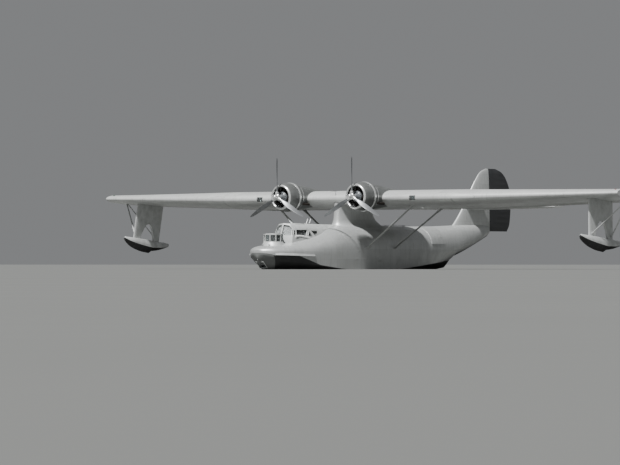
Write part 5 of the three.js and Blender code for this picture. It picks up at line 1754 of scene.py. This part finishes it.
def build_turret():
    from_nose, radius, wall, top, faces, (low, high) = TURRET.values()
    shape = drum(radius, 1.7, top)
    for (wide, z), (narrow, above) in zip(TURRET_FOOT, TURRET_FOOT[1:]):
        fuse(shape, drum((radius + narrow) * 0.975, z - 0.001, above, 60, (radius + wide) * 0.975))
    cut(shape, drum(radius - wall, 1.6, top - 0.030), drum(0.330, 2.2, 2.5, 48))
    cut(shape, hull_solid(0.2, 3.0, SEAM), canopy_layer(-SEAM))
    half = radius * math.sin(math.pi / faces) - 0.024
    outline = rounded([(x, 0, z) for x, z in ((-half, low), (half, low), (half, high), (-half, high))], 0.03)
    corners = [(p.x, y, up(p.z)) for p in outline for y in (-radius - 0.08, -radius + 0.08)]
    for heading in turns(faces):
        if math.cos(heading) > -0.5:  # the rear faces are plated
            turn = Matrix.Translation((0, aft(from_nose), 0)) @ Matrix.Rotation(heading, 4, "Z")
            cut(shape, moved(convex(corners), turn))
    place(largest(shape), "turret_frame", TRIM_LACQUER, "bow_turret", angle=12)
    inner = radius - wall - SEAM
    pane = cut(drum(inner, 1.99, top - 0.031), drum(inner - GLASS_THICK, 1.9, 2.4))
    place(pane, "turret_panes", CLEAR_PANE, "turret_glass")
    lid = rounded_edges(drum(0.360, top + SEAM, top + 0.022, 48), 0.006)
    place(lid, "turret_lid", TRIM_LACQUER, "bow_hatch", "bow_hatch")


# The cockpit, seen through the glass
PILOT_OUT = 0.420
FOOT = COCKPIT_FLOOR + SEAM
DOORWAY = {"half": 0.280, "top": 1.780}
DOOR_TRIM = [(-0.286, 1.030), (-0.286, 1.785), (0.286, 1.785), (0.286, 1.030)]  # half width, height
STIFFENERS_OUT = (0.400, 0.620)
PANEL_BACK = 2.236
YOKE = {"from_nose": 2.400, "half_span": 0.700, "height": 1.800, "wheel": 0.160}
SEAT = {"half": 0.226, "legs_out": 0.105, "legs_from_nose": (2.860, 3.060)}
SEAT_ARM = [
    # from nose, height
    (2.760, 1.462), (2.860, 1.600), (3.120, 1.640), (3.185, 1.780),
]
DIALS = [
    # distance off the centreline, height, radius
    [0.075, 2.075, 0.052], [0.205, 2.075, 0.052], [0.335, 2.075, 0.052], [0.445, 2.085, 0.038],
    [0.075, 1.945, 0.052], [0.205, 1.945, 0.052], [0.335, 1.945, 0.052], [0.445, 1.960, 0.038],
    [0.060, 1.860, 0.022], [0.130, 1.860, 0.022], [0.200, 1.860, 0.022], [0.270, 1.860, 0.022],
]
BEZEL = [
    # share of the dial's radius, from nose
    [1, 2.236], [1, 2.245], [0.86, 2.247], [0.82, 2.239], [0.82, 2.236],
]


def pillow(across, along, thick, channels=()):
    """A crowned cushion whose sides pull in between its corners, sewn down along its channels."""
    steps, pull, groove = 26, 0.05, 0.012
    at = np.linspace(-1, 1, steps + 1)
    vertices = []
    for top in (True, False):
        for v in at:
            for u in at:
                crown = math.sqrt(max(0.0, (1 - u**4) * (1 - v**4)))
                sewn = 1 - sum(0.25 * math.exp(-(((u * across / 2 - c) / groove) ** 2)) for c in channels)
                height = 0.35 + 0.65 * crown * sewn if top else 0.35 * (1 - crown)
                x = u * across / 2 * (1 - pull * (1 - v * v))
                y = v * along / 2 * (1 - pull * (1 - u * u))
                vertices.append((x, y, thick * height))
    faces = []
    for layer in range(2):
        for i in range(steps):
            for j in range(steps):
                a = layer * (steps + 1) ** 2 + i * (steps + 1) + j
                faces.append((a, a + 1, a + steps + 2, a + steps + 1))
    return outward(solid(vertices, faces))


def rounded_slab(x, height, along, radius):
    """A plate square to Y between two places along it, with rounded corners."""
    outline = rounded([(a, b, 0) for a, b in zip((x[0], x[1], x[1], x[0]), np.repeat(height, 2))], radius)
    return skin([[in_frame((p.x, s, p.y)) for p in outline] for s in along])


def rod(points, radius, sides=8, bend_radius=0.0):
    """A bar through points given as half widths, distances from the nose and heights."""
    points = [Vector(in_frame(p)) for p in points]
    return tube(rounded_path(points, bend_radius) if bend_radius else points, radius, sides)


def build_bulkhead():
    limit = canopy_layer(CANOPY_WALL + 2 * SEAM + GLASS_THICK)
    inside = fuse(room(BOW_WALL + SEAM, BOW_BULKHEAD, 4.490, FOOT), limit)
    plate = keep(inside, ship_block(s=(2.152, 2.175), h=(FOOT, 2.160)))
    half = DOORWAY["half"]
    cut(plate, rounded_slab((-half, half), (0.5, DOORWAY["top"]), (2.0, 2.3), 0.10))
    parts = [largest(plate), rod([(x, 2.176, z) for x, z in DOOR_TRIM], 0.012, 8, 0.10)]
    for x in STIFFENERS_OUT:
        parts.append(with_mirror(rounded_slab((x - 0.012, x + 0.012), (1.05, 1.80), (2.172, 2.196), 0.004)))
    place(together(parts), "cockpit_bulkhead", PRIMER, "bow_bulkhead")


def build_panel():
    panel = rounded_slab((-0.500, 0.500), (1.820, 2.150), (2.1753, PANEL_BACK), 0.05)
    place(panel, "instrument_board", CRACKLE, "instrument_panel")
    bezels, faces, needles = [], [], []
    dials = [(side * x, h, r) for side in (1, -1) for x, h, r in DIALS]
    for number, (x, h, r) in enumerate(dials):
        profile = [(share * r, aft(s)) for share, s in BEZEL]
        bezels.append(turned(profile, (x, up(h)), 24, closed=True))
        faces.append(disc(in_frame((x, PANEL_BACK + 0.0002, h)), r * 0.82, 0.0016, (0, 1, 0)))

        def on_dial(turn, share, s=PANEL_BACK + 0.002):
            return (x + r * share * math.sin(turn), s, h + r * share * math.cos(turn))

        needle = [on_dial(0.9 + 1.7 * number, share, PANEL_BACK + 0.0024) for share in (0, 0.62)]
        needles.append(rod(needle, [0.0022, 0.0008], 5))
        for turn in turns(12):
            needles.append(rod([on_dial(turn, 0.68), on_dial(turn, 0.78)], 0.0009, 4))
    place(together(bezels), "dial_bezels", BARE_METAL)
    place(together(faces), "dial_faces", DIAL_FACE)
    place(together(needles), "dial_needles", NEEDLE)


def build_yoke():
    s, span, h, wheel = YOKE.values()
    column = rod([(span, s, FOOT), (span, s, h), (-span, s, h), (-span, s, FOOT)], 0.024, 12, 0.05)
    metal = [column, with_mirror(disc(in_frame((span, s, FOOT)), 0.05, 0.02, (0, 0, 1)))]
    rims = []
    for x in (PILOT_OUT, -PILOT_OUT):
        centre = Vector(in_frame((x, s + 0.062, h)))
        rims.append(loop_about(centre, wheel, 0.013))
        metal.append(disc(in_frame((x, s, h)), 0.029, 0.074, (0, 1, 0)))
        for turn in (0.5, 2.64, math.pi * 1.5):
            spoke = Vector((math.cos(turn), 0, math.sin(turn))) * wheel
            metal.append(tube([centre, centre + spoke], [0.011, 0.007]))
    place(together(metal), "yoke_frame", BARE_METAL, "control_yoke")
    place(together(rims), "yoke_rims", CRACKLE)


def build_seats():
    x, (half, legs_out, legs) = PILOT_OUT, SEAT.values()
    wide = (x - half, x + half)
    across = (x - legs_out, x + legs_out)
    shell = [rounded_edges(ship_block(wide, (2.730, 3.190), (1.450, 1.468)), 0.006)]
    shell.append(rounded_slab(wide, (1.455, 2.122), (3.176, 3.192), 0.09))
    shell += [rod([(edge, s, h) for s, h in SEAT_ARM], 0.009, 8, 0.06) for edge in wide]
    for out in across:
        shell += [rod([(out, s, FOOT), (out, s, 1.452)], 0.013) for s in legs]
        shell.append(rod([(out, s, FOOT + 0.014) for s in (2.845, 3.075)], 0.014))
    shell.append(rod([(across[0], legs[0], 1.060), (across[1], legs[0], 1.400)], 0.008, 6))
    place_pair(together(shell), "seat_frame", PRIMER, "seat")

    stand = Matrix.Translation(in_frame((x, 3.174, 1.815))) @ Matrix.Rotation(math.pi / 2, 4, "X")
    back = moved(pillow(0.405, 0.560, 0.052, channels=(-0.1, 0.0, 0.1)), stand)
    cushion = moved(pillow(0.415, 0.410, 0.068), Matrix.Translation(in_frame((x, 2.955, 1.469))))
    for part, piece in (("cushion", cushion), ("back", back)):
        for name, side in SIDES.items():
            padded = place(on_side(piece, side), f"seat_{part}_{name}", LEATHER)


# Bow window, roof posts, landing lamps and mast
LENS_AT = 5.8547
LAMP_BOWL = [
    # radius, aft of the lens
    (0, 0.058), (0.05, 0.054), (0.084, 0.034), (0.096, 0.008), (0.099, 0.008), (0.088, 0.037),
    (0.052, 0.0595), (0, 0.0598),
]
LAMP_LENS = [(0, 0), (0.06, 0.003), (0.088, 0.008), (0, 0.010)]


def build_aim_window():
    frame_piece = cut(aim_block(0.0006, -0.0143, -SEAM), aim_block(0.0706, -0.03, 0.02))
    place(frame_piece, "aim_window_frame", TRIM_LACQUER, "bow_window")
    place(aim_block(0.0716, -0.0085, -0.0005), "aim_window_pane", CLEAR_PANE)


def build_roof_posts():
    base = [(x, s, h) for x in (-0.055, 0.055) for s in (3.520, 3.900) for h in (2.790, 2.850)]
    foot = cut(rounded_edges(convex([in_frame(p) for p in base]), 0.012), canopy_layer(-SEAM))
    parts = [largest(foot)]
    for s in (3.600, 3.820):
        low, high = (Vector(in_frame(p)) for p in ((0, s, 2.790), (0, s + 0.12, 3.050)))
        parts.append(tube([low, high], 0.020, 12, flat=0.8))
        parts.append(disc(in_frame((0, s + 0.026, 2.846)), 0.032, 0.012, high - low, 16))
    place(together(parts), "roof_post_pair", BRIGHT_RING, "roof_posts")


def build_lamps():
    centre = (LAMP["out"], up(LAMP["level"]))
    bowl = turned([(r, aft(LENS_AT + s)) for r, s in LAMP_BOWL], centre, 40)
    place_pair(bowl, "lamp_bowl", BRIGHT_RING, "landing_lamp")
    ring = loop_about(in_frame((LAMP["out"], LENS_AT + 0.007, LAMP["level"])), 0.094, 0.006)
    place_pair(ring, "lamp_ring", TRIM_LACQUER)
    lens = turned([(r, aft(LENS_AT + s)) for r, s in LAMP_LENS], centre, 40)
    place_pair(lens, "lamp_lens", CLEAR_PANE)
    cover = wing_solid(LAMP["out"] - 0.3, LAMP["out"] + 0.3, 0)
    inside = moved(copied(cover), Matrix.Translation((0, 0.004, 0)))
    cover = largest(cut(keep(cover, lamp_well(SEAM, 0.07)), inside))
    place(with_mirror(cover), "lamp_covers", CLEAR_PANE)


def build_mast():
    mast = rod([(0, 5.860 - 0.040 * t, 4.000 + 0.340 * t) for t in (0, 0.9, 1)], [0.016, 0.012, 0.005], 12)
    foot = disc(in_frame((0, 5.862, 4.055)), 0.045, 0.016, (0, -0.2, 1), 20)
    place(together([mast, foot]), "mast", BARE_METAL, "wing_mast")


# Rivets, rib tapes and fittings, laid on the finished pieces
FRAME_PITCH = 0.550
LAP_PITCH = 0.460
HULL_PIECES = ("bow_shell", "cockpit_shell", "centre_shell", "waist_shell", "tail_shell")
WING_PIECES = ("wing_centre_skin", "wing_outer_skin_port", "wing_outer_skin_starboard")
TAPE = (0.032, 0.0024)  # width and height
SIDE_COVERS = [
    # start and end from nose, lower and upper height above the waterline, corner radius
    (0.78, 1.02, 0.78, 0.96, 0.06),
    (4.75, 5.25, 1.36, 1.66, 0.09),
    (9.20, 9.55, 0.62, 0.84, 0.06),
    (14.70, 15.00, 1.36, 1.60, 0.06),
]
WAIST_EDGE = [(11.62, 1.215), (12.88, 1.215)]
SIDE_STEPS_AT = [(5.40, 0.50), (5.55, 0.86), (5.70, 1.22)]  # from nose, height above the waterline
CLEATS = [(0.230, 0.560), (0.560, 10.400)]  # half width, from nose
DECK_RAIL = (9.750, 9.800, 11.200, 11.250)
SILL = [
    # from nose, height
    (2.06, 2.225), (2.20, 2.252), (2.40, 2.256), (2.60, 2.232), (2.80, 2.190), (2.95, 2.145),
]
CORNER_POST = [(0.552, 1.905, 2.29), (0.540, 1.950, 2.42), (0.505, 2.000, 2.55)]
WIPER = [(0.20, 1.755, 2.31), (0.23, 1.810, 2.50)]
CANOPY_SEAMS = [(0.70, 2.14), (0.78, 2.80), (0.86, 3.24), (0.93, 3.60)]  # half width, from nose
TURRET_RINGS = [(0.460, 2.315), (0.470, 1.985)]  # radius, height
TANK_CAPS = [(1.55, 0.30), (3.10, 0.30)]  # half span, share of the chord
ACCESS_PLATES = [(5.6, 0.45), (7.6, 0.50), (10.8, 0.50), (13.0, 0.45), (2.9, 0.30)]
TIP_LIGHT = (14.80, 0.10)  # half span, share of the chord
COWL_SEAMS = (4.62, 5.06, 5.24, 5.50, 5.90, 6.50, 7.10)
CASE_RIB = [(0.150, 0.058), (0.200, 0.100), (0.243, 0.136)]  # radius, aft of the cowl's front


def sides_of(ring, ahead=-FAR, behind=FAR):
    """A section's top and underside as two lines, between two places along Y."""
    middle = len(ring) // 2
    return [[p for p in half if ahead <= p[1] <= behind] for half in (ring[:middle], ring[middle + 1 :])]


def hull_lines():
    """Lines of rivets down the hull's frames and along its laps."""
    lines = []
    for number in range(-15, 17):
        y = FRAME_PITCH * number - 0.012
        lines.append([(x, y, up(z)) for x, z in hull_half(row_at(y + NOSE_TO_STEP))[1:]])
    for level in (LAP_PITCH * number - 0.018 for number in range(5)):
        run = []
        for s in np.arange(0.2, 17.8, 0.1):
            row = row_at(s)
            if up(row[3]) + 0.02 < level < up(row[6]) - 0.05:
                run.append(side_point(s, level))
            elif run:
                lines.append(run)
                run = []
        lines.append(run)
    return mirrored_lines([line for line in lines if len(line) > 1])


def detail_hull():
    surface = surface_of(*HULL_PIECES)
    lines = hull_lines()
    rivets("hull_rivets", surface_of(*HULL_PIECES, paints=(LACQUERED,)), lines)
    # The stem's rivets take the same darker lacquer, painted shade
    rivets("stem_rivets", surface_of("bow_shell", paints=(STEM_SHADE,)), lines, finish=STEM_LACQUER)
    rivets("bottom_rivets", surface_of(*HULL_PIECES, paints=(PAINTED,)), lines, finish=BOTTOM_PAINT)
    edges = [*[side_loop(*cover) for cover in SIDE_COVERS], [side_point(*at) for at in WAIST_EDGE]]
    ribbons("panel_edges", surface, mirrored_lines(edges), (0.014, 0.005))
    steps = [[side_point(s, z) for s in np.linspace(start, start + 0.16, 5)] for start, z in SIDE_STEPS_AT]
    ribbons("side_steps", surface, mirrored_lines(steps), (0.05, 0.012))
    runs = (np.arange(0.45, 8.35, 0.12), np.arange(8.5, 13.9, 0.12))  # ahead of the step and behind it
    chine = [[chine_point(s) for s in run] for run in runs]
    bars = [tube(line, 0.009, 6) for line in mirrored_lines(chine)]
    place(together(bars), "chine_strips", BOTTOM_PAINT)


def detail_deck():
    surface = surface_of(*HULL_PIECES)
    metal = [tube([in_frame((0, s, row_at(s)[1] - 0.002)) for s in np.linspace(0.02, 0.10, 6)], 0.012)]
    metal.append(loop_about(in_frame((0, 0.052, 1.165)), 0.032, 0.008, (1, 0, 0), 24))

    def on_deck(x, s, above, *steps):
        spot = spot_on(surface, in_frame((x, s, above)))[0]
        return [spot + Vector((0, along, rise)) for along, rise in steps]

    for x, s in CLEATS:
        for side in (1, -1):
            for shift in (-0.05, 0.05):
                metal.append(tube(on_deck(side * x, s, 2.9, (shift, -0.01), (shift, 0.055)), 0.013, 10))
            metal.append(tube(on_deck(side * x, s, 2.9, (-0.11, 0.055), (0.11, 0.055)), 0.010, 10))
            metal.append(disc(on_deck(side * x, s, 2.9, (0, -0.004))[0], 0.075, 0.010, (0, 0, 1), 20))
    rail = [on_deck(0.30, s, 3.0, (0, rise))[0] for s, rise in zip(DECK_RAIL, (0, 0.05, 0.05, 0))]
    metal.append(with_mirror(tube(rounded_path(rail, 0.03), 0.009)))
    place(together(metal), "deck_fittings", BARE_METAL)


def detail_canopy():
    canopy = surface_of("canopy_frame")
    sill = [(lerp(0.60, 0.72, (s - 2.06) / 0.9), s, h) for s, h in SILL]
    sill = rounded_path([spot_on(canopy, in_frame(p))[0] for p in sill], 0.08)
    # The sills' pale finish is a painted highlight
    place(with_mirror(tube(sill, 0.042, 12)), "window_sills", SILL_LACQUER)
    # A dark strip down each corner post between the windscreen and the corner pane: painted shade of the gap
    # there
    post = [spot_on(canopy, in_frame(p)) for p in CORNER_POST]
    post_shade = grown(RIBBON_TREE, [post], RUBBER_WALK, Width=0.036, Height=0.005)
    place(with_mirror(post_shade), "corner_post_painted_shade", RUBBER_WALK)
    wipers = []
    for side in (1, -1):
        spots = [spot_on(canopy, in_frame((side * x, s, h)))[0] for x, s, h in WIPER]
        foot, tip = (spot + Vector((0, -0.012, 0.004)) for spot in spots)
        wipers.append(tube([foot, tip], 0.006, 6))
        wipers.append(tube([tip - Vector((0, 0, 0.12)), tip + Vector((0, 0.05, 0.13))], 0.008, 6))
    place(together(wipers), "wipers", CRACKLE)
    seams = [[in_frame((x, s, h)) for h in np.linspace(1.9, 2.22, 8)] for x, s in CANOPY_SEAMS]
    seams += [[in_frame((x, s, 2.83)) for s in np.linspace(2.1, 5.4, 50)] for x in (0.02, 0.325)]
    rivets("canopy_rivets", canopy, mirrored_lines(seams), "canopy")
    rings = [turret_ring(radius, np.linspace(0, 2 * math.pi, 120), height) for radius, height in TURRET_RINGS]
    rivets("turret_rivets", surface_of("turret_frame"), rings, "turret", reach=0.05)


def wing_rib(x):
    """A rib's section of the wing, with the places of its spar and of its trailing edge along Y."""
    leading, _, chord, _ = wing_row(x)
    return wing_ring(x), aft(leading + SPAR_SHARE * chord), aft(leading + 0.985 * chord)


def detail_wing():
    surface = surface_of(*WING_PIECES)
    outer_ribs = np.linspace(WING_JOIN, WING_TIP, 26)[1:-1]
    linen, metal = [], []
    for number, x in enumerate([*np.linspace(-WING_JOIN, WING_JOIN, 42), *outer_ribs, *-outer_ribs]):
        ring, spar, trailing = wing_rib(x)
        linen += sides_of(ring, spar + 0.02, trailing)
        if number % 2 == 0:
            metal += sides_of(ring, aft(wing_row(x)[0]) + 0.03, spar - 0.02)
    ribbons("wing_tapes", surface, linen, TAPE, DOPED_LINEN)
    for share in (0.04, 0.13, 0.25, 0.37, 0.49, 0.59):
        for way in (1, -1):
            metal.append([wing_skin_point(x, share, way) for x in np.arange(-WING_TIP + 0.05, WING_TIP, 0.2)])
    rivets("wing_rivets", surface, metal, "wing")
    joins = [line for x in (WING_JOIN + 0.02, -WING_JOIN - 0.02) for line in sides_of(wing_ring(x))]
    ribbons("wing_join_straps", surface, joins, (0.11, 0.004))
    walk = sides_of(wing_ring(0.60), aft(6.4), aft(8.3))[0]
    ribbons("wing_walkways", surface, mirrored_lines([walk]), (0.34, 0.004), RUBBER_WALK)

    caps, plates = [], []
    for side in (1, -1):
        for x, share in TANK_CAPS:
            spot, way = spot_on(surface, wing_skin_point(side * x, share, 1))
            caps.append(disc(spot - way * 0.004, 0.085, 0.012, way, 32))
            bar = [spot + way * 0.012 + Vector((shift, 0, 0)) for shift in (-0.03, 0.03)]
            caps.append(tube(bar, 0.006, 6))
        for x, share in ACCESS_PLATES:
            spot, way = spot_on(surface, wing_skin_point(side * x, share, -1))
            plates.append(disc(spot - way * 0.004, 0.070, 0.007, way, 28))
    place(together(caps), "tank_caps", BARE_METAL)
    place(together(plates), "access_plates", TRIM_LACQUER)

    out, share = TIP_LIGHT
    height = float(camber_line(share) + half_thick(WING_LINES[-1, 4], share))
    spot, way = spot_on(surface, wing_point(out, share, height))
    shares = np.linspace(0.02, 0.98, 10)
    path = [spot + Vector((0, (t - 0.5) * 0.16, 0)) - way * 0.004 for t in shares]
    light = tube(path, [0.030 * math.sin(math.pi * t) ** 0.6 * (1.2 - 0.5 * t) for t in shares], 16)
    for (name, side), glass in zip(SIDES.items(), (RED_GLASS, GREEN_GLASS)):
        place(on_side(light, side), f"tip_light_{name}", glass)

    inner, outboard = AILERON["span"]
    for name, side in SIDES.items():
        lines = []
        for x in outer_ribs[(outer_ribs > inner + 0.05) & (outer_ribs < outboard - 0.05)]:
            ring, _, trailing = wing_rib(side * x)
            lines += sides_of(ring, aileron_axis(x)[0].y - 0.08, trailing)
        flap = surface_of(f"aileron_fabric_{name}")
        ribbons(f"aileron_{name}_tapes", flap, lines, TAPE, DOPED_LINEN, f"aileron_{name}")


def detail_tail():
    heights = rib_stations(TAIL_BLADE[0, 0], TAIL_BLADE[-1, 0], BLADE_RIB_PITCH)[0][4:-4:4]
    post = aft(RUDDER_HINGE)
    rudder, metal = [], []
    for ring in (tail_ring(blade_row(h)) for h in heights):
        leading, trailing = ring[len(ring) // 2][1], ring[0][1]
        rudder += sides_of(ring, post - 0.05, trailing - 0.03)
        metal += sides_of(ring, leading + 0.03, post - 0.05)
    ribbons("rudder_tapes", surface_of("rudder_fabric"), rudder, TAPE, DARK_LINEN, "rudder")
    for share in (0.12, 0.30, 0.48):
        line = []
        for h in np.linspace(2.55, 5.4, 40):
            _, leading, trailing, thickness = blade_row(h)
            chord = trailing - leading
            line.append(in_frame((float(half_thick(thickness, share)) * chord, leading + share * chord, h)))
        metal += mirrored_lines([line])
    rivets("fin_rivets", surface_of("fin_skin"), metal)

    ribs = rib_stations(-PLANE_HALF_SPAN, PLANE_HALF_SPAN, PLANE_RIB_PITCH)[0][4:-4:4]
    hinge = aft(ELEVATOR_HINGE)
    fixed, flaps = [], {name: [] for name in SIDES}
    for x in ribs:
        ring = plane_ring(x)
        leading, trailing = ring[len(ring) // 2][1], ring[0][1]
        fixed += sides_of(ring, leading + 0.03, hinge - 0.05)
        if abs(x) > 0.1:
            flaps["port" if x > 0 else "starboard"] += sides_of(ring, hinge - 0.03, trailing - 0.03)
    rivets("tailplane_rivets", surface_of("tailplane_skin"), fixed)
    for name, lines in flaps.items():
        flap = surface_of(f"elevator_fabric_{name}")
        ribbons(f"elevator_{name}_tapes", flap, lines, TAPE, DOPED_LINEN, f"elevator_{name}")


def detail_floats():
    surface = surface_of("tip_float_port")
    lines = []
    for s in np.arange(6.9, 9.8, 0.30):
        x, z = FLOAT_AXIS, FLOAT_DECK - 0.25
        circuit = np.linspace(0, 2 * math.pi, 40)
        lines.append([(x + 0.34 * math.sin(t), aft(s), z + 0.33 * math.cos(t)) for t in circuit])
    rows = rivet_rows(surface, lines, "float", TRIM_LACQUER, 0.30)
    place_pair(rows, "float_rivets", TRIM_LACQUER)
    caps = []
    for s in (7.05, 9.30):
        spot, way = spot_on(surface, (FLOAT_AXIS, aft(s), FLOAT_DECK + 0.3))
        caps.append(disc(spot - way * 0.004, 0.07, 0.010, way, 28))
    place_pair(together(caps), "float_covers", BARE_METAL)


def detail_engines():
    circuit = np.linspace(0, 2 * math.pi, 90)
    lines = [[about_shaft(0.68, turn, s) for turn in circuit] for s in COWL_SEAMS]
    for turn in np.radians((45, 135, 225, 315)):
        lines.append([about_shaft(0.68, turn, s) for s in np.arange(4.62, 7.9, 0.05)])
    surface = surface_of("cowl_port", "nacelle_skin_port")
    rows = rivet_rows(surface, lines, "cowl", COWL_LACQUER, 0.30)
    place_pair(rows, "cowl_rivets", COWL_LACQUER, across=beside)
    case = []
    for turn in turns(14):
        rib = [about_shaft(r, turn, COWL_FRONT + s) for r, s in CASE_RIB]
        case.append(tube(rib, [0.006, 0.010, 0.008], 6))
    for turn in (0.35, -0.35):
        magneto = [about_shaft(0.19, turn, COWL_FRONT + s) for s in (0.085, 0.035, 0.025)]
        case.append(tube(magneto, [0.030, 0.030, 0.020], 14))
    place_pair(together(case), "gear_case_ribs", CRANKCASE, across=beside)


def build_camera():
    """The photograph's view: from the port bow, just above the waterline, with a long lens."""
    azimuth, distance, height = math.radians(38.174), 200.0, 0.25
    aim_height, shift_right, shift_up = 2.0, -2.785, -0.272
    elevation = math.asin((height - aim_height - shift_up) / distance)
    level = Vector((math.sin(azimuth), -math.cos(azimuth), 0))
    back = level * math.cos(elevation) + Vector((0, 0, math.sin(elevation)))
    right = (-back).cross(Vector((0, 0, 1))).normalized()
    over = right.cross(-back)
    data = bpy.data.cameras.new("long_lens")
    camera = bpy.data.objects.new("long_lens", data)
    scene.collection.objects.link(camera)
    data.lens, data.sensor_width = 246.5, 36.0
    data.clip_start, data.clip_end = 0.5, 2500.0
    camera.location = Vector((0, 0, aim_height)) + back * distance + right * shift_right + over * shift_up
    camera.rotation_euler = Matrix((right, over, back)).transposed().to_euler()
    scene.camera = camera


def build_stage():
    """A plain pale floor at the waterline, and soft light from high ahead of the bow."""
    floor = solid([(-900, -900, 0), (900, -900, 0), (900, 900, 0), (-900, 900, 0)], [(0, 1, 2, 3)], "floor")
    scraps.remove(floor)
    floor.data.materials.append(mottled("pale_floor", "#5f605e", "#5e5f5d", 0.2, 0.8, bump=0.0))
    world = bpy.data.worlds.new("pale_studio")
    scene.world = world
    world.use_nodes = True
    ground = world.node_tree.nodes["Background"]
    ground.inputs["Color"].default_value = colour("#c3c5c7")
    ground.inputs["Strength"].default_value = 0.40
    for name, direction, strength, spread in (
        ("key", (0.10, -0.62, 1.0), 8.4, 5),
        ("fill", (0.6, -1.0, 0.35), 0.25, 50),
    ):
        lamp = bpy.data.lights.new(name, "SUN")
        lamp.energy, lamp.angle = strength, math.radians(spread)
        light = bpy.data.objects.new(name, lamp)
        light.rotation_euler = Vector(direction).to_track_quat("Z", "Y").to_euler()
        scene.collection.objects.link(light)


build_camera()
build_bow()
build_cockpit_hull()
build_centre_hull()
build_waist()
build_waist_lids()
build_fin()
build_tailplane()
build_wing()
build_floats()
build_pylon()
build_engines()
build_propellers()
build_nacelles()
build_canopy()
build_turret()
build_bulkhead()
build_panel()
build_yoke()
build_seats()
build_aim_window()
build_roof_posts()
build_lamps()
build_mast()
detail_hull()
detail_deck()
detail_canopy()
detail_wing()
detail_tail()
detail_floats()
detail_engines()
build_stage()

for scrap in scraps:
    bpy.data.objects.remove(scrap)
